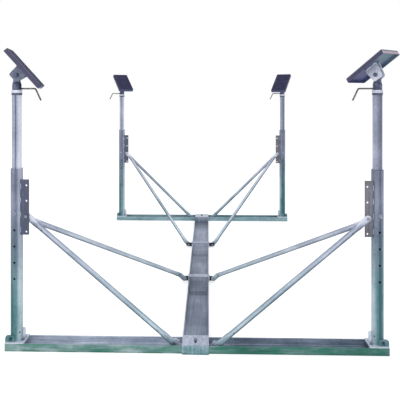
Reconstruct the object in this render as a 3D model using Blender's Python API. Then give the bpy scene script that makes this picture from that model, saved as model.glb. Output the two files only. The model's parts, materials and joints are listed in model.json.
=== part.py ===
"""Storage cradle for a keel boat, in galvanised steel.

Two cross beams and one wide spine lie on the ground. A telescopic post stands near each end of each beam, held by
a long brace to the spine and a short brace to the beam. A jack nut with a cranked handle on top of each post
raises a threaded spindle, whose swivel head carries a tilting hull pad.

Metres, +Z up, +X to the right, +Y from the front beam to the rear beam. The origin is on the ground, under the
middle of the spine.
"""
import math
from collections import namedtuple

import bmesh
import bpy
from mathutils import Matrix, Vector

# Clearances
GAP = 0.0003                    # between faces that touch, seat or are welded
RUNNING_CLEARANCE = 0.0003      # radial, around what turns or slides in a bore
BOLT_CLEARANCE = 0.0007         # radial, around a bolt in its hole
WELD = 0.0015                   # how far pieces of one weldment run into each other

# Base frame
CRADLE_LENGTH = 2.80            # over the outer faces of both beams
FRONT_BEAM_LENGTH = 2.50
REAR_BEAM_LENGTH = 2.24
BEAM_DEPTH = 0.100
BEAM_HEIGHT = 0.050
BEAM_WALL = 0.006
END_PLATE = 0.006               # bridge and foot plates
SPINE_WIDTH = 0.175
SPINE_HEIGHT = 0.050
SPINE_FLANGE = 0.010
SPINE_WEB = 0.008
SADDLE_PLATE = 0.008
SADDLE_LIP = 0.010
SADDLE_SLOT_LENGTH = 0.060
SADDLE_STUD_RADIUS = 0.006
SADDLE_WASHER_RADIUS = 0.012
SADDLE_WASHER = 0.0025

# Lug straps over the spine
STRAP_OFFSET = 0.400            # of each strap from the middle of the spine
STRAP_WIDTH = 0.050
STRAP_PLATE = 0.006
STRAP_LEG_FOOT = 0.010          # height of the legs' ends above the ground
LUG_PLATE = 0.008
STRAP_LUG_TOP = 0.050
STRAP_BOLT_OUT = 0.0362         # from the strap's outer face to the bolt in its lug
STRAP_LUG_MARGIN = 0.025        # from that bolt to the lug's rounded end

# Lugs in the beams
BEAM_LUG_GAP = 0.0215           # from the saddle's edge to the lug
BEAM_LUG_WIDTH = 0.066
BEAM_LUG_BOLT_DROP = 0.005      # of the bolt below the beam's flanges
BEAM_LUG_MARGIN = 0.025         # from that bolt to the lug's top

# Posts
POST_INSET = 0.058              # of each post's axis from the beam's end
OUTER_RADIUS = 0.03805
OUTER_WALL = 0.0063
OUTER_TOP = 1.190
INNER_RADIUS = 0.03015
INNER_WALL = 0.004
INNER_TOP = 1.700
REAR_DROP = 0.050               # the rear inner tubes end lower than the front ones by this
INNER_CAP = 0.012               # cap plate closing the inner tube, above its rim
COLLAR_RADIUS = 0.034
COLLAR_DEPTH = 0.022            # of the collar down the outside of the inner tube
PIN_HOLE_LOWEST = 0.468
PIN_HOLE_PITCH = 0.107
PIN_HOLE_COUNT = 5
PIN_RADIUS = 0.007
PIN_TAIL = 0.014                # what stands out behind the post
PIN_CHAMFER = 0.002
PIN_COLLAR_RADIUS = 0.012
PIN_COLLAR = 0.004
PIN_NECK = 0.005
PIN_KNOB_RADIUS = 0.010
PIN_KNOB = 0.009
DRAIN_RISE = 0.0537             # above the foot plate
DRAIN_RADIUS = 0.006
DRAIN_ANGLE = 55.0              # degrees from the post's front, towards the middle of the cradle

# Post feet; heights are above the foot plate
CLEAT_WIDTH = 0.065
CLEAT_HEIGHT = 0.0437
CLEAT_PLATE = 0.006
CLEAT_CORNER = 0.018
CLEAT_SCREW_X = 0.022           # outwards of the post's axis
CLEAT_SCREW_RISE = 0.0197
RIB_WIDTH = 0.021
RIB_HEIGHT = 0.0757
RIB_PLATE = 0.006
RIB_CORNER = 0.010
FOOT_BOLT_INSET = 0.048         # inwards of the post's axis
FOOT_BOLT_SPREAD = 0.036
FOOT_BOLT_MARGIN = 0.019        # from the bolts to the plate's inner edge

# Brace plates
PLATE_THICKNESS = 0.008
PLATE_FORWARD = 0.020           # of the plate's middle plane, in front of the post's axis
PLATE_BOTTOM = 0.755
PLATE_HOLE_INSET = 0.073        # inwards of the post's axis
PLATE_SIDE_MARGIN = 0.017       # from the holes to the free edge
PLATE_LOW_MARGIN = 0.020        # from the lowest hole to the lower end
PLATE_HIGH_MARGIN = 0.039       # from the highest hole to the upper end
PLATE_HOLE_PITCH = 0.102
PLATE_HOLE_COUNT = 4
PLATE_BOLT_HOLE = 1             # counted up from the lowest, which is 0

# Braces
BRACE_RADIUS = 0.01685
BRACE_WALL = 0.0026
TONGUE_HALF_WIDTH = 0.020
TONGUE = 0.006
TONGUE_BLEND = 0.060            # from flat to round
TONGUE_STRAIGHT = 0.048         # from the bolt to the bend, clear of the plate and lug it lies on
TONGUE_SQUARENESS = 8.0         # exponent of the flat section; 2 is round
VENT_RADIUS = 0.004
VENT_DISTANCE = 0.030           # beyond the end of the blend

# Fasteners: M12 bolts with low heads
BOLT_RADIUS = 0.006
BOLT_FLATS = 0.019
BOLT_HEAD = 0.0064
NUT_HEIGHT = 0.0095
BOLT_STICKOUT = 0.004

# Jack
NUT_RADIUS = 0.029
JACK_NUT_HEIGHT = 0.0401
NUT_CHAMFER = 0.003
CRANK_SOCKET = 0.009            # how far the handle's bar is let into the nut
CRANK_ROD_RADIUS = 0.0055
CRANK_RISE = 0.0082             # of the bar's axis above the nut's lower face
CRANK_REACH = 0.125
CRANK_BEND_RADIUS = 0.014
CRANK_GRIP = 0.078              # length of the handle below the bend
CRANK_DROOP = 65.0              # degrees below level
SPINDLE_RADIUS = 0.015
SPINDLE_LENGTH = 0.4027         # below the shoulder that the head turns on
SPINDLE_CHAMFER = 0.003
SPIGOT_RADIUS = 0.008           # the reduced top on which the head turns
SPIGOT_LENGTH = 0.022

# Swivel head
HEAD_BASE_RADIUS = 0.027
HEAD_BASE = 0.008
NECK_WIDTH = 0.044
NECK_THICKNESS = 0.026
PIVOT_RISE = 0.057              # above the head's lower face
PIVOT_RADIUS = 0.008
PIVOT_FLATS = 0.024
PIVOT_HEAD = 0.009
PIVOT_HEAD_RADIUS = 0.015
PIVOT_CROWN_RADIUS = 0.009
SPIGOT_ROOM = 0.001             # above the spigot, in the head's blind bore

# Hull pad, measured from the pivot
PAD_LENGTH = 0.320
PAD_WIDTH = 0.190
PAD_CORNER = 0.012
TRAY_PLATE = 0.004
TRAY_RIM_BOTTOM = 0.050
TRAY_RIM_HEIGHT = 0.0217
FACING = 0.008
FACING_INSET = 0.001
EAR_PLATE = 0.006
EAR_TOP_HALF_WIDTH = 0.050
EAR_FOOT_HALF_WIDTH = 0.034
EAR_DROP = 0.033                # from the pivot to the ear's lower edge
EAR_CORNER = 0.014

# Facets
TUBE_SIDES = 20
ROUND_SIDES = 12
HOLE_SIDES = 8
BRACE_SIDES = 10
ROD_SIDES = 8
BOLT_SIDES = 6
CORNER_STEPS = 3

# Levels worked out from the sizes above
BEAM_LIP = BEAM_HEIGHT + GAP
BEAM_LUG_X = SPINE_WIDTH / 2 + BEAM_LUG_GAP + BEAM_LUG_WIDTH / 2
BEAM_LUG_BOLT_Z = BEAM_HEIGHT - BEAM_LUG_BOLT_DROP
BEAM_LUG_TOP = BEAM_LUG_BOLT_Z + BEAM_LUG_MARGIN
STRAP_BOLT_X = SPINE_WIDTH / 2 + GAP + STRAP_PLATE + STRAP_BOLT_OUT
STRAP_BOLT_Z = (STRAP_LUG_TOP + STRAP_LEG_FOOT) / 2
END_PLATE_LENGTH = POST_INSET + FOOT_BOLT_INSET + FOOT_BOLT_MARGIN
FOOT_FLOOR = BEAM_LIP + END_PLATE
CLEAT_TOP = FOOT_FLOOR + CLEAT_HEIGHT
RIB_TOP = FOOT_FLOOR + RIB_HEIGHT
POST_BOTTOM = FOOT_FLOOR - WELD
PIN_HEIGHT = PIN_HOLE_LOWEST + PIN_HOLE_PITCH * (PIN_HOLE_COUNT - 1)
INNER_BOTTOM = PIN_HEIGHT + PIN_RADIUS + GAP
CAP_TOP = INNER_TOP + INNER_CAP
NUT_BOTTOM = CAP_TOP + GAP
NUT_TOP = NUT_BOTTOM + JACK_NUT_HEIGHT
CRANK_HEIGHT = NUT_BOTTOM + CRANK_RISE
SHOULDER = NUT_TOP + GAP
SPINDLE_BOTTOM = SHOULDER - SPINDLE_LENGTH
HEAD_BOTTOM = SHOULDER + GAP
PLATE_EDGE = PLATE_HOLE_INSET + PLATE_SIDE_MARGIN
PLATE_HOLE_LOWEST = PLATE_BOTTOM + PLATE_LOW_MARGIN
PLATE_TOP = PLATE_HOLE_LOWEST + PLATE_HOLE_PITCH * (PLATE_HOLE_COUNT - 1) + PLATE_HIGH_MARGIN
BRACE_BOLT_HEIGHT = PLATE_HOLE_LOWEST + PLATE_HOLE_PITCH * PLATE_BOLT_HOLE
BEAM_FACE = CRADLE_LENGTH / 2
BEAM_INNER_FACE = BEAM_FACE - BEAM_DEPTH
BEAM_MIDDLE = BEAM_FACE - BEAM_DEPTH / 2
SADDLE_OUTER = BEAM_FACE + GAP + SADDLE_LIP
SADDLE_INNER = BEAM_INNER_FACE - GAP - SADDLE_PLATE
SADDLE_TOP = BEAM_LIP + SADDLE_PLATE
SPINE_END = SADDLE_INNER - GAP
TRAY_TOP = TRAY_RIM_BOTTOM + TRAY_RIM_HEIGHT
FACING_BOTTOM = TRAY_TOP + GAP

Corner = namedtuple("Corner", "name side end drop pad_azimuth pad_tilt crank_azimuth stack")

# stack tells how the brace tongues lie on the brace plate: which face of it, then the piece next to the plate
CORNERS = (
    Corner("front_left", -1, -1, 0.0, 15.0, 49.5, 0.0, ("behind", "short", "long")),
    Corner("front_right", 1, -1, 0.0, 125.0, 35.0, 180.0, ("before", "long", "short")),
    Corner("rear_left", -1, 1, REAR_DROP, 302.0, 39.5, 180.0, ("before", "short", "long")),
    Corner("rear_right", 1, 1, REAR_DROP, 240.0, 43.5, 180.0, ("before", "short", "long")),
)


def clear_scene():
    for scene_object in list(bpy.data.objects):
        bpy.data.objects.remove(scene_object, do_unlink=True)


def material(name, colour, roughness, metallic):
    made = bpy.data.materials.new(name)
    made.use_nodes = True
    shader = made.node_tree.nodes["Principled BSDF"]
    shader.inputs["Base Color"].default_value = (*colour, 1.0)
    shader.inputs["Roughness"].default_value = roughness
    shader.inputs["Metallic"].default_value = metallic
    made.diffuse_color = (*colour, 1.0)
    return made


def bore_radius(shaft_radius, clearance, sides):
    """Radius to the corners of a faceted bore that clears a round shaft by the clearance at its flats."""
    return (shaft_radius + clearance) / math.cos(math.pi / sides)


def arc(centre, radius, start, end, steps):
    """Points on an arc between two angles in degrees, both ends included."""
    points = []
    for step in range(steps + 1):
        angle = math.radians(start + (end - start) * step / steps)
        points.append((centre[0] + radius * math.cos(angle), centre[1] + radius * math.sin(angle)))
    return points


def circle(centre, radius, sides):
    """Points round a full circle, with a flat towards each axis."""
    half = 180.0 / sides
    return arc(centre, radius, half, half + 360.0 * (sides - 1) / sides, sides - 1)


def slot(centre, length, radius):
    """Outline of a slot along the second axis, with round ends."""
    reach = length / 2 - radius
    top = arc((centre[0], centre[1] + reach), radius, 0, 180, HOLE_SIDES // 2)
    bottom = arc((centre[0], centre[1] - reach), radius, 180, 360, HOLE_SIDES // 2)
    return top + bottom


def rounded_rectangle(half_x, half_y, radius):
    points = []
    for sign_x, sign_y, start in ((1, 1, 0), (-1, 1, 90), (-1, -1, 180), (1, -1, 270)):
        centre = (sign_x * (half_x - radius), sign_y * (half_y - radius))
        points += arc(centre, radius, start, start + 90, CORNER_STEPS)
    return points


def close_faces(mesh, rings, closed_profile=False):
    """Join equal rings of vertices with quads; cap both ends unless the profile itself is closed."""
    count = len(rings[0])
    pairs = list(zip(rings, rings[1:]))
    if closed_profile:
        pairs.append((rings[-1], rings[0]))
    for lower, upper in pairs:
        for index in range(count):
            after = (index + 1) % count
            mesh.faces.new((lower[index], lower[after], upper[after], upper[index]))
    if not closed_profile:
        mesh.faces.new(rings[0][::-1])
        mesh.faces.new(rings[-1])


def lathe(mesh, profile, sides, place=Matrix(), closed_profile=False, hexagons=()):
    """Turn (radius, height) points about Z. Rings whose index is in hexagons are hexagonal, by their flats."""
    rings = []
    for index, (radius, height) in enumerate(profile):
        ring = []
        for side in range(sides):
            angle = 2 * math.pi * (side + 0.5) / sides
            reach = radius
            if index in hexagons:
                offset = (angle + math.pi / 6) % (math.pi / 3) - math.pi / 6
                reach = radius / math.cos(math.pi / 6 - abs(offset))
            ring.append(mesh.verts.new(place @ Vector((reach * math.cos(angle), reach * math.sin(angle), height))))
        rings.append(ring)
    close_faces(mesh, rings, closed_profile)


def prism(mesh, outline, thickness, place=Matrix(), holes=()):
    """Fill an outline, leaving its holes open, and extrude it along its own Z by the thickness."""
    edges = []
    for loop in (outline, *holes):
        verts = [mesh.verts.new(place @ Vector((x, y, 0.0))) for x, y in loop]
        edges += [mesh.edges.new((verts[index - 1], verts[index])) for index in range(len(verts))]
    filled = bmesh.ops.triangle_fill(mesh, use_beauty=True, edges=edges)
    faces = [item for item in filled["geom"] if isinstance(item, bmesh.types.BMFace)]
    extruded = bmesh.ops.extrude_face_region(mesh, geom=faces)
    moved = [item for item in extruded["geom"] if isinstance(item, bmesh.types.BMVert)]
    bmesh.ops.translate(mesh, verts=moved, vec=place.to_3x3() @ Vector((0.0, 0.0, thickness)))


def facing_back(x, y, z):
    """Place a plate drawn in X and Z so that its own Z runs along +Y, starting at y."""
    rotation = Matrix(((1, 0, 0), (0, 0, 1), (0, 1, 0))).to_4x4()
    return Matrix.Translation((x, y, z)) @ rotation


def running_right(x):
    """Place a section drawn in Y and Z so that its own Z runs along +X, starting at x."""
    return Matrix.Translation((x, 0, 0)) @ Matrix(((0, 0, 1), (1, 0, 0), (0, 1, 0))).to_4x4()


def along(start, direction):
    """Place a piece so that its own Z runs from start in the given direction."""
    turn = Vector(direction).to_track_quat("Z", "Y").to_matrix().to_4x4()
    return Matrix.Translation(start) @ turn


def finish(name, mesh, finish_material, location=(0, 0, 0), rotation=(0, 0, 0), parent=None, outward=True):
    """Make the named object from the mesh, facing outwards and shaded smooth where it is round."""
    if outward:
        bmesh.ops.recalc_face_normals(mesh, faces=mesh.faces)
    data = bpy.data.meshes.new(name)
    mesh.to_mesh(data)
    mesh.free()
    data.shade_smooth()
    data.set_sharp_from_angle(angle=math.radians(40))
    made = bpy.data.objects.new(name, data)
    if finish_material:
        data.materials.append(finish_material)
    made.location = location
    made.rotation_euler = rotation
    made.parent = parent
    bpy.context.scene.collection.objects.link(made)
    return made


def combine(target, operation, name, mesh):
    """Unite the target with a second mesh, or cut that mesh out of it, in the target's own frame."""
    tool = finish(name, mesh, None, target.location, target.rotation_euler, target.parent)
    tool.hide_render = True
    tool.display_type = "WIRE"
    modifier = target.modifiers.new(name, "BOOLEAN")
    modifier.operation = operation
    modifier.solver = "EXACT"
    modifier.object = tool


def empty(name, location, rotation, parent=None):
    made = bpy.data.objects.new(name, None)
    made.location = location
    made.rotation_euler = rotation
    made.parent = parent
    bpy.context.scene.collection.objects.link(made)
    return made


def bolt_with_nut(mesh, place, grip):
    """A hexagon bolt and its nut in one body: head below the origin, shank through the grip, nut beyond it."""
    flat = BOLT_FLATS / 2
    nut_start = grip + GAP
    profile = [
        (flat, -GAP - BOLT_HEAD),
        (flat, -GAP),
        (BOLT_RADIUS, -GAP),
        (BOLT_RADIUS, nut_start),
        (flat, nut_start),
        (flat, nut_start + NUT_HEIGHT),
        (BOLT_RADIUS, nut_start + NUT_HEIGHT),
        (BOLT_RADIUS, nut_start + NUT_HEIGHT + BOLT_STICKOUT),
    ]
    lathe(mesh, profile, BOLT_SIDES, place, hexagons=(0, 1, 4, 5))


def beam_half_length(end):
    return (FRONT_BEAM_LENGTH if end < 0 else REAR_BEAM_LENGTH) / 2


def corners_at(end):
    return [corner for corner in CORNERS if corner.end == end]


def post_axis(corner):
    return corner.side * (beam_half_length(corner.end) - POST_INSET), corner.end * BEAM_MIDDLE


def tongue_planes(corner):
    """Middle plane in Y of each brace's tongue on the brace plate, and the two outer faces of the stack."""
    face, near, far = corner.stack
    axis_y = post_axis(corner)[1]
    direction = 1 if face == "behind" else -1
    plate_middle = axis_y - PLATE_FORWARD
    plate_face = plate_middle + direction * PLATE_THICKNESS / 2
    planes = {
        near: plate_face + direction * (GAP + TONGUE / 2),
        far: plate_face + direction * (2 * GAP + TONGUE * 3 / 2),
    }
    free_face = plate_middle - direction * PLATE_THICKNESS / 2
    stack_face = planes[far] + direction * TONGUE / 2
    return planes, min(free_face, stack_face), max(free_face, stack_face)


def spine(steel):
    half = SPINE_WIDTH / 2
    inner = half - SPINE_FLANGE
    outline = (
        (-half, 0), (half, 0), (half, SPINE_HEIGHT), (inner, SPINE_HEIGHT),
        (inner, SPINE_WEB), (-inner, SPINE_WEB), (-inner, SPINE_HEIGHT), (-half, SPINE_HEIGHT),
    )
    mesh = bmesh.new()
    prism(mesh, outline, 2 * SPINE_END, facing_back(0, -SPINE_END, 0))
    finish("spine", mesh, steel)


def beam_lug_face(corner):
    """Front face of the lug that stands behind the short brace's lower tongue."""
    return tongue_planes(corner)[0]["short"] + TONGUE / 2 + GAP


def beam_fittings(end):
    """What is welded into a beam: a bridge under each post's foot and a lug for each short brace."""
    mesh = bmesh.new()
    half = beam_half_length(end)
    reach = BEAM_DEPTH / 2 - BEAM_WALL + WELD
    for corner in corners_at(end):
        outer_x = corner.side * half
        inner_x = corner.side * (half - END_PLATE_LENGTH)
        outline = ((inner_x, -reach), (outer_x, -reach), (outer_x, reach), (inner_x, reach))
        bolt_x = corner.side * (half - POST_INSET - FOOT_BOLT_INSET)
        holes = [
            circle((bolt_x, spread * FOOT_BOLT_SPREAD / 2), BOLT_RADIUS + BOLT_CLEARANCE, HOLE_SIDES)
            for spread in (-1, 1)
        ]
        prism(mesh, outline, END_PLATE, Matrix.Translation((0, 0, BEAM_HEIGHT - END_PLATE)), holes)

        lug_half = BEAM_LUG_WIDTH / 2
        shoulder = lug_half / 2
        middle = corner.side * BEAM_LUG_X
        high = BEAM_LUG_TOP - shoulder
        outline = [(middle - lug_half, BEAM_WALL - WELD), (middle + lug_half, BEAM_WALL - WELD)]
        outline += arc((middle + lug_half - shoulder, high), shoulder, 0, 90, CORNER_STEPS)
        outline += arc((middle - lug_half + shoulder, high), shoulder, 90, 180, CORNER_STEPS)
        face = beam_lug_face(corner) - end * BEAM_MIDDLE
        prism(mesh, outline, LUG_PLATE, facing_back(0, face, 0))
    return mesh


def beam_fasteners(end):
    """The stud that holds the saddle, with washer and nut, and the bolt through each lug and its tongue."""
    mesh = bmesh.new()
    washer_bottom = SADDLE_TOP + GAP
    nut_bottom = washer_bottom + SADDLE_WASHER
    flat = BOLT_FLATS / 2
    profile = [
        (flat, BEAM_WALL - WELD),
        (flat, BEAM_WALL + BOLT_HEAD),
        (SADDLE_STUD_RADIUS, BEAM_WALL + BOLT_HEAD),
        (SADDLE_STUD_RADIUS, washer_bottom),
        (SADDLE_WASHER_RADIUS, washer_bottom),
        (SADDLE_WASHER_RADIUS, nut_bottom),
        (flat, nut_bottom),
        (flat, nut_bottom + NUT_HEIGHT),
        (SADDLE_STUD_RADIUS, nut_bottom + NUT_HEIGHT),
        (SADDLE_STUD_RADIUS, nut_bottom + NUT_HEIGHT + BOLT_STICKOUT),
    ]
    lathe(mesh, profile, 2 * BOLT_SIDES, hexagons=(0, 1, 6, 7))
    for corner in corners_at(end):
        start = (corner.side * BEAM_LUG_X, beam_lug_face(corner) - GAP - TONGUE - end * BEAM_MIDDLE, BEAM_LUG_BOLT_Z)
        bolt_with_nut(mesh, along(start, (0, 1, 0)), TONGUE + GAP + LUG_PLATE)
    return mesh


def beam(name, end, steel):
    """A channel open upwards, with its bridges, lugs and fasteners."""
    half = beam_half_length(end)
    depth = BEAM_DEPTH / 2
    inner = depth - BEAM_WALL
    outline = (
        (-depth, 0), (depth, 0), (depth, BEAM_HEIGHT), (inner, BEAM_HEIGHT),
        (inner, BEAM_WALL), (-inner, BEAM_WALL), (-inner, BEAM_HEIGHT), (-depth, BEAM_HEIGHT),
    )
    mesh = bmesh.new()
    prism(mesh, outline, 2 * half, running_right(-half))
    channel = finish(name, mesh, steel, (0, end * BEAM_MIDDLE, 0))
    combine(channel, "UNION", name + "_fittings", beam_fittings(end))
    combine(channel, "UNION", name + "_fasteners", beam_fasteners(end))


def saddle(name, end, steel):
    """An inverted channel over the beam, whose slot takes the stud on the beam's web."""
    outer = SADDLE_OUTER - BEAM_MIDDLE
    inner = BEAM_MIDDLE - SADDLE_INNER
    lip_face = outer - SADDLE_LIP
    leg_face = inner - SADDLE_PLATE
    outline = (
        (end * outer, 0), (end * outer, SADDLE_TOP), (-end * inner, SADDLE_TOP), (-end * inner, 0),
        (-end * leg_face, 0), (-end * leg_face, BEAM_LIP), (end * lip_face, BEAM_LIP), (end * lip_face, 0),
    )
    mesh = bmesh.new()
    prism(mesh, outline, SPINE_WIDTH, running_right(-SPINE_WIDTH / 2))
    made = finish(name, mesh, steel, (0, end * BEAM_MIDDLE, 0))

    cutter = bmesh.new()
    opening = slot((0, 0), SADDLE_SLOT_LENGTH, SADDLE_STUD_RADIUS + BOLT_CLEARANCE)
    prism(cutter, opening, 3 * SADDLE_PLATE, Matrix.Translation((0, 0, BEAM_LIP - SADDLE_PLATE)))
    combine(made, "DIFFERENCE", name + "_slot", cutter)


def lug_strap(name, end, steel):
    """A flat bar bent over the spine's flanges, with a lug standing out on each side for the long braces."""
    inner = SPINE_WIDTH / 2 + GAP
    outer = inner + STRAP_PLATE
    under = SPINE_HEIGHT + GAP
    over = under + STRAP_PLATE
    outline = (
        (-outer, STRAP_LEG_FOOT), (-inner, STRAP_LEG_FOOT), (-inner, under), (inner, under),
        (inner, STRAP_LEG_FOOT), (outer, STRAP_LEG_FOOT), (outer, over), (-outer, over),
    )
    mesh = bmesh.new()
    prism(mesh, outline, STRAP_WIDTH, facing_back(0, -STRAP_WIDTH / 2, 0))
    strap = finish(name, mesh, steel, (0, end * STRAP_OFFSET, 0))

    lugs = bmesh.new()
    bolts = bmesh.new()
    radius = (STRAP_LUG_TOP - STRAP_LEG_FOOT) / 2
    middle = STRAP_BOLT_Z
    root = outer - WELD
    for side in (-1, 1):
        tip = arc((STRAP_BOLT_X + STRAP_LUG_MARGIN - radius, middle), radius, -90, 90, 2 * CORNER_STEPS)
        outline = [(root, STRAP_LUG_TOP), (root, STRAP_LEG_FOOT)] + tip
        mirrored = [(side * x, z) for x, z in outline]
        prism(lugs, mirrored, LUG_PLATE, facing_back(0, -LUG_PLATE / 2, 0))
        tongue_face = end * (LUG_PLATE / 2 + GAP + TONGUE)
        start = (side * STRAP_BOLT_X, tongue_face, STRAP_BOLT_Z)
        bolt_with_nut(bolts, along(start, (0, -end, 0)), TONGUE + GAP + LUG_PLATE)
    combine(strap, "UNION", name + "_lugs", lugs)
    combine(strap, "UNION", name + "_bolts", bolts)


def foot_plate(corner):
    """Plate across the beam's flanges, under the post."""
    mesh = bmesh.new()
    end_x = corner.side * POST_INSET
    inner_x = end_x - corner.side * END_PLATE_LENGTH
    half = BEAM_DEPTH / 2
    outline = ((inner_x, -half), (end_x, -half), (end_x, half), (inner_x, half))
    prism(mesh, outline, END_PLATE, Matrix.Translation((0, 0, BEAM_LIP)))
    return mesh


def foot_uprights(corner):
    """Cleat before the post, with a round outer shoulder, and a rib against the post's inner side."""
    mesh = bmesh.new()
    outward = corner.side
    end_x = outward * POST_INSET
    low = FOOT_FLOOR - WELD
    shoulder = arc((0, CLEAT_TOP - CLEAT_CORNER), CLEAT_CORNER, 0, 90, CORNER_STEPS)
    outline = [(end_x - outward * CLEAT_WIDTH, low), (end_x, low)]
    outline += [(end_x - outward * (CLEAT_CORNER - x), z) for x, z in shoulder]
    outline.append((end_x - outward * CLEAT_WIDTH, CLEAT_TOP))
    prism(mesh, outline, CLEAT_PLATE, facing_back(0, WELD - OUTER_RADIUS - CLEAT_PLATE, 0))

    start = OUTER_RADIUS - WELD
    reach = OUTER_RADIUS + RIB_WIDTH
    shoulder = arc((0, RIB_TOP - RIB_CORNER), RIB_CORNER, 0, 90, CORNER_STEPS)
    outline = [(-outward * start, low), (-outward * reach, low)]
    outline += [(-outward * (reach - RIB_CORNER + x), z) for x, z in shoulder]
    outline.append((-outward * start, RIB_TOP))
    prism(mesh, outline, RIB_PLATE, facing_back(0, -RIB_PLATE / 2, 0))
    return mesh


def foot_bolts(corner):
    """Two bolts down through the foot plate and the bridge, and the screw in the cleat that bears on the tube."""
    mesh = bmesh.new()
    flat = BOLT_FLATS / 2
    for spread in (-1, 1):
        start = (-corner.side * FOOT_BOLT_INSET, spread * FOOT_BOLT_SPREAD / 2, FOOT_FLOOR)
        bolt_with_nut(mesh, along(start, (0, 0, -1)), 2 * END_PLATE + GAP)
    front = OUTER_RADIUS + CLEAT_PLATE - WELD
    profile = [
        (flat, -BOLT_HEAD),
        (flat, WELD),
        (BOLT_RADIUS, WELD),
        (BOLT_RADIUS, front - OUTER_RADIUS / 2),
    ]
    start = (corner.side * CLEAT_SCREW_X, -front, FOOT_FLOOR + CLEAT_SCREW_RISE)
    lathe(mesh, profile, BOLT_SIDES, along(start, (0, 1, 0)), hexagons=(0, 1))
    return mesh


def outer_post(corner, steel):
    """Tube welded upright on its foot, with a row of holes for the stop pin and a drain hole near the foot."""
    axis_x, axis_y = post_axis(corner)
    inner = OUTER_RADIUS - OUTER_WALL
    profile = [(OUTER_RADIUS, POST_BOTTOM), (OUTER_RADIUS, OUTER_TOP), (inner, OUTER_TOP), (inner, POST_BOTTOM)]
    mesh = bmesh.new()
    lathe(mesh, profile, TUBE_SIDES, closed_profile=True)
    tube = finish(corner.name + "_outer_post", mesh, steel, (axis_x, axis_y, 0))
    combine(tube, "UNION", corner.name + "_foot_plate", foot_plate(corner))
    combine(tube, "UNION", corner.name + "_foot_uprights", foot_uprights(corner))
    combine(tube, "UNION", corner.name + "_foot_bolts", foot_bolts(corner))

    holes = bmesh.new()
    reach = 2 * OUTER_RADIUS
    radius = bore_radius(PIN_RADIUS, RUNNING_CLEARANCE, HOLE_SIDES)
    for index in range(PIN_HOLE_COUNT):
        height = PIN_HOLE_LOWEST + index * PIN_HOLE_PITCH
        prism(holes, circle((0, height), radius, HOLE_SIDES), 2 * reach, facing_back(0, -reach, 0))
    angle = math.radians(DRAIN_ANGLE)
    direction = (-corner.side * math.sin(angle), -math.cos(angle), 0)
    lathe(holes, [(DRAIN_RADIUS, 0), (DRAIN_RADIUS, reach)], HOLE_SIDES, along((0, 0, FOOT_FLOOR + DRAIN_RISE), direction))
    combine(tube, "DIFFERENCE", corner.name + "_post_holes", holes)


def brace_plate(corner, steel):
    axis_x, axis_y = post_axis(corner)
    back_face = PLATE_FORWARD - PLATE_THICKNESS / 2
    near = math.sqrt(OUTER_RADIUS ** 2 - back_face ** 2) + GAP
    inward = -corner.side
    outline = (
        (inward * near, PLATE_BOTTOM), (inward * PLATE_EDGE, PLATE_BOTTOM),
        (inward * PLATE_EDGE, PLATE_TOP), (inward * near, PLATE_TOP),
    )
    holes = []
    for index in range(PLATE_HOLE_COUNT):
        height = PLATE_HOLE_LOWEST + index * PLATE_HOLE_PITCH
        holes.append(circle((inward * PLATE_HOLE_INSET, height), BOLT_RADIUS + BOLT_CLEARANCE, HOLE_SIDES))
    mesh = bmesh.new()
    front_face = -PLATE_FORWARD - PLATE_THICKNESS / 2
    prism(mesh, outline, PLATE_THICKNESS, facing_back(0, front_face, 0), holes)
    finish(corner.name + "_brace_plate", mesh, steel, (axis_x, axis_y, 0))


def brace_section(centre, across, through, half_width, half_thickness, roundness):
    """Ring of points, from the flat tongue at roundness 0 to the round tube at 1.

    The section is a superellipse, whose flats are brought out to the full thickness where it is flat.
    """
    exponent = 2.0 / (TONGUE_SQUARENESS + (2.0 - TONGUE_SQUARENESS) * roundness)
    highest = math.sin(2 * math.pi * round(BRACE_SIDES / 4) / BRACE_SIDES)
    flat_share = highest ** exponent
    flat_share += (1.0 - flat_share) * roundness
    ring = []
    for index in range(BRACE_SIDES):
        angle = 2 * math.pi * index / BRACE_SIDES
        cosine = math.cos(angle)
        sine = math.sin(angle)
        x = math.copysign(abs(cosine) ** exponent, cosine) * half_width
        y = math.copysign(abs(sine) ** exponent, sine) * half_thickness / flat_share
        ring.append(centre + across * x + through * y)
    return ring


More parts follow.
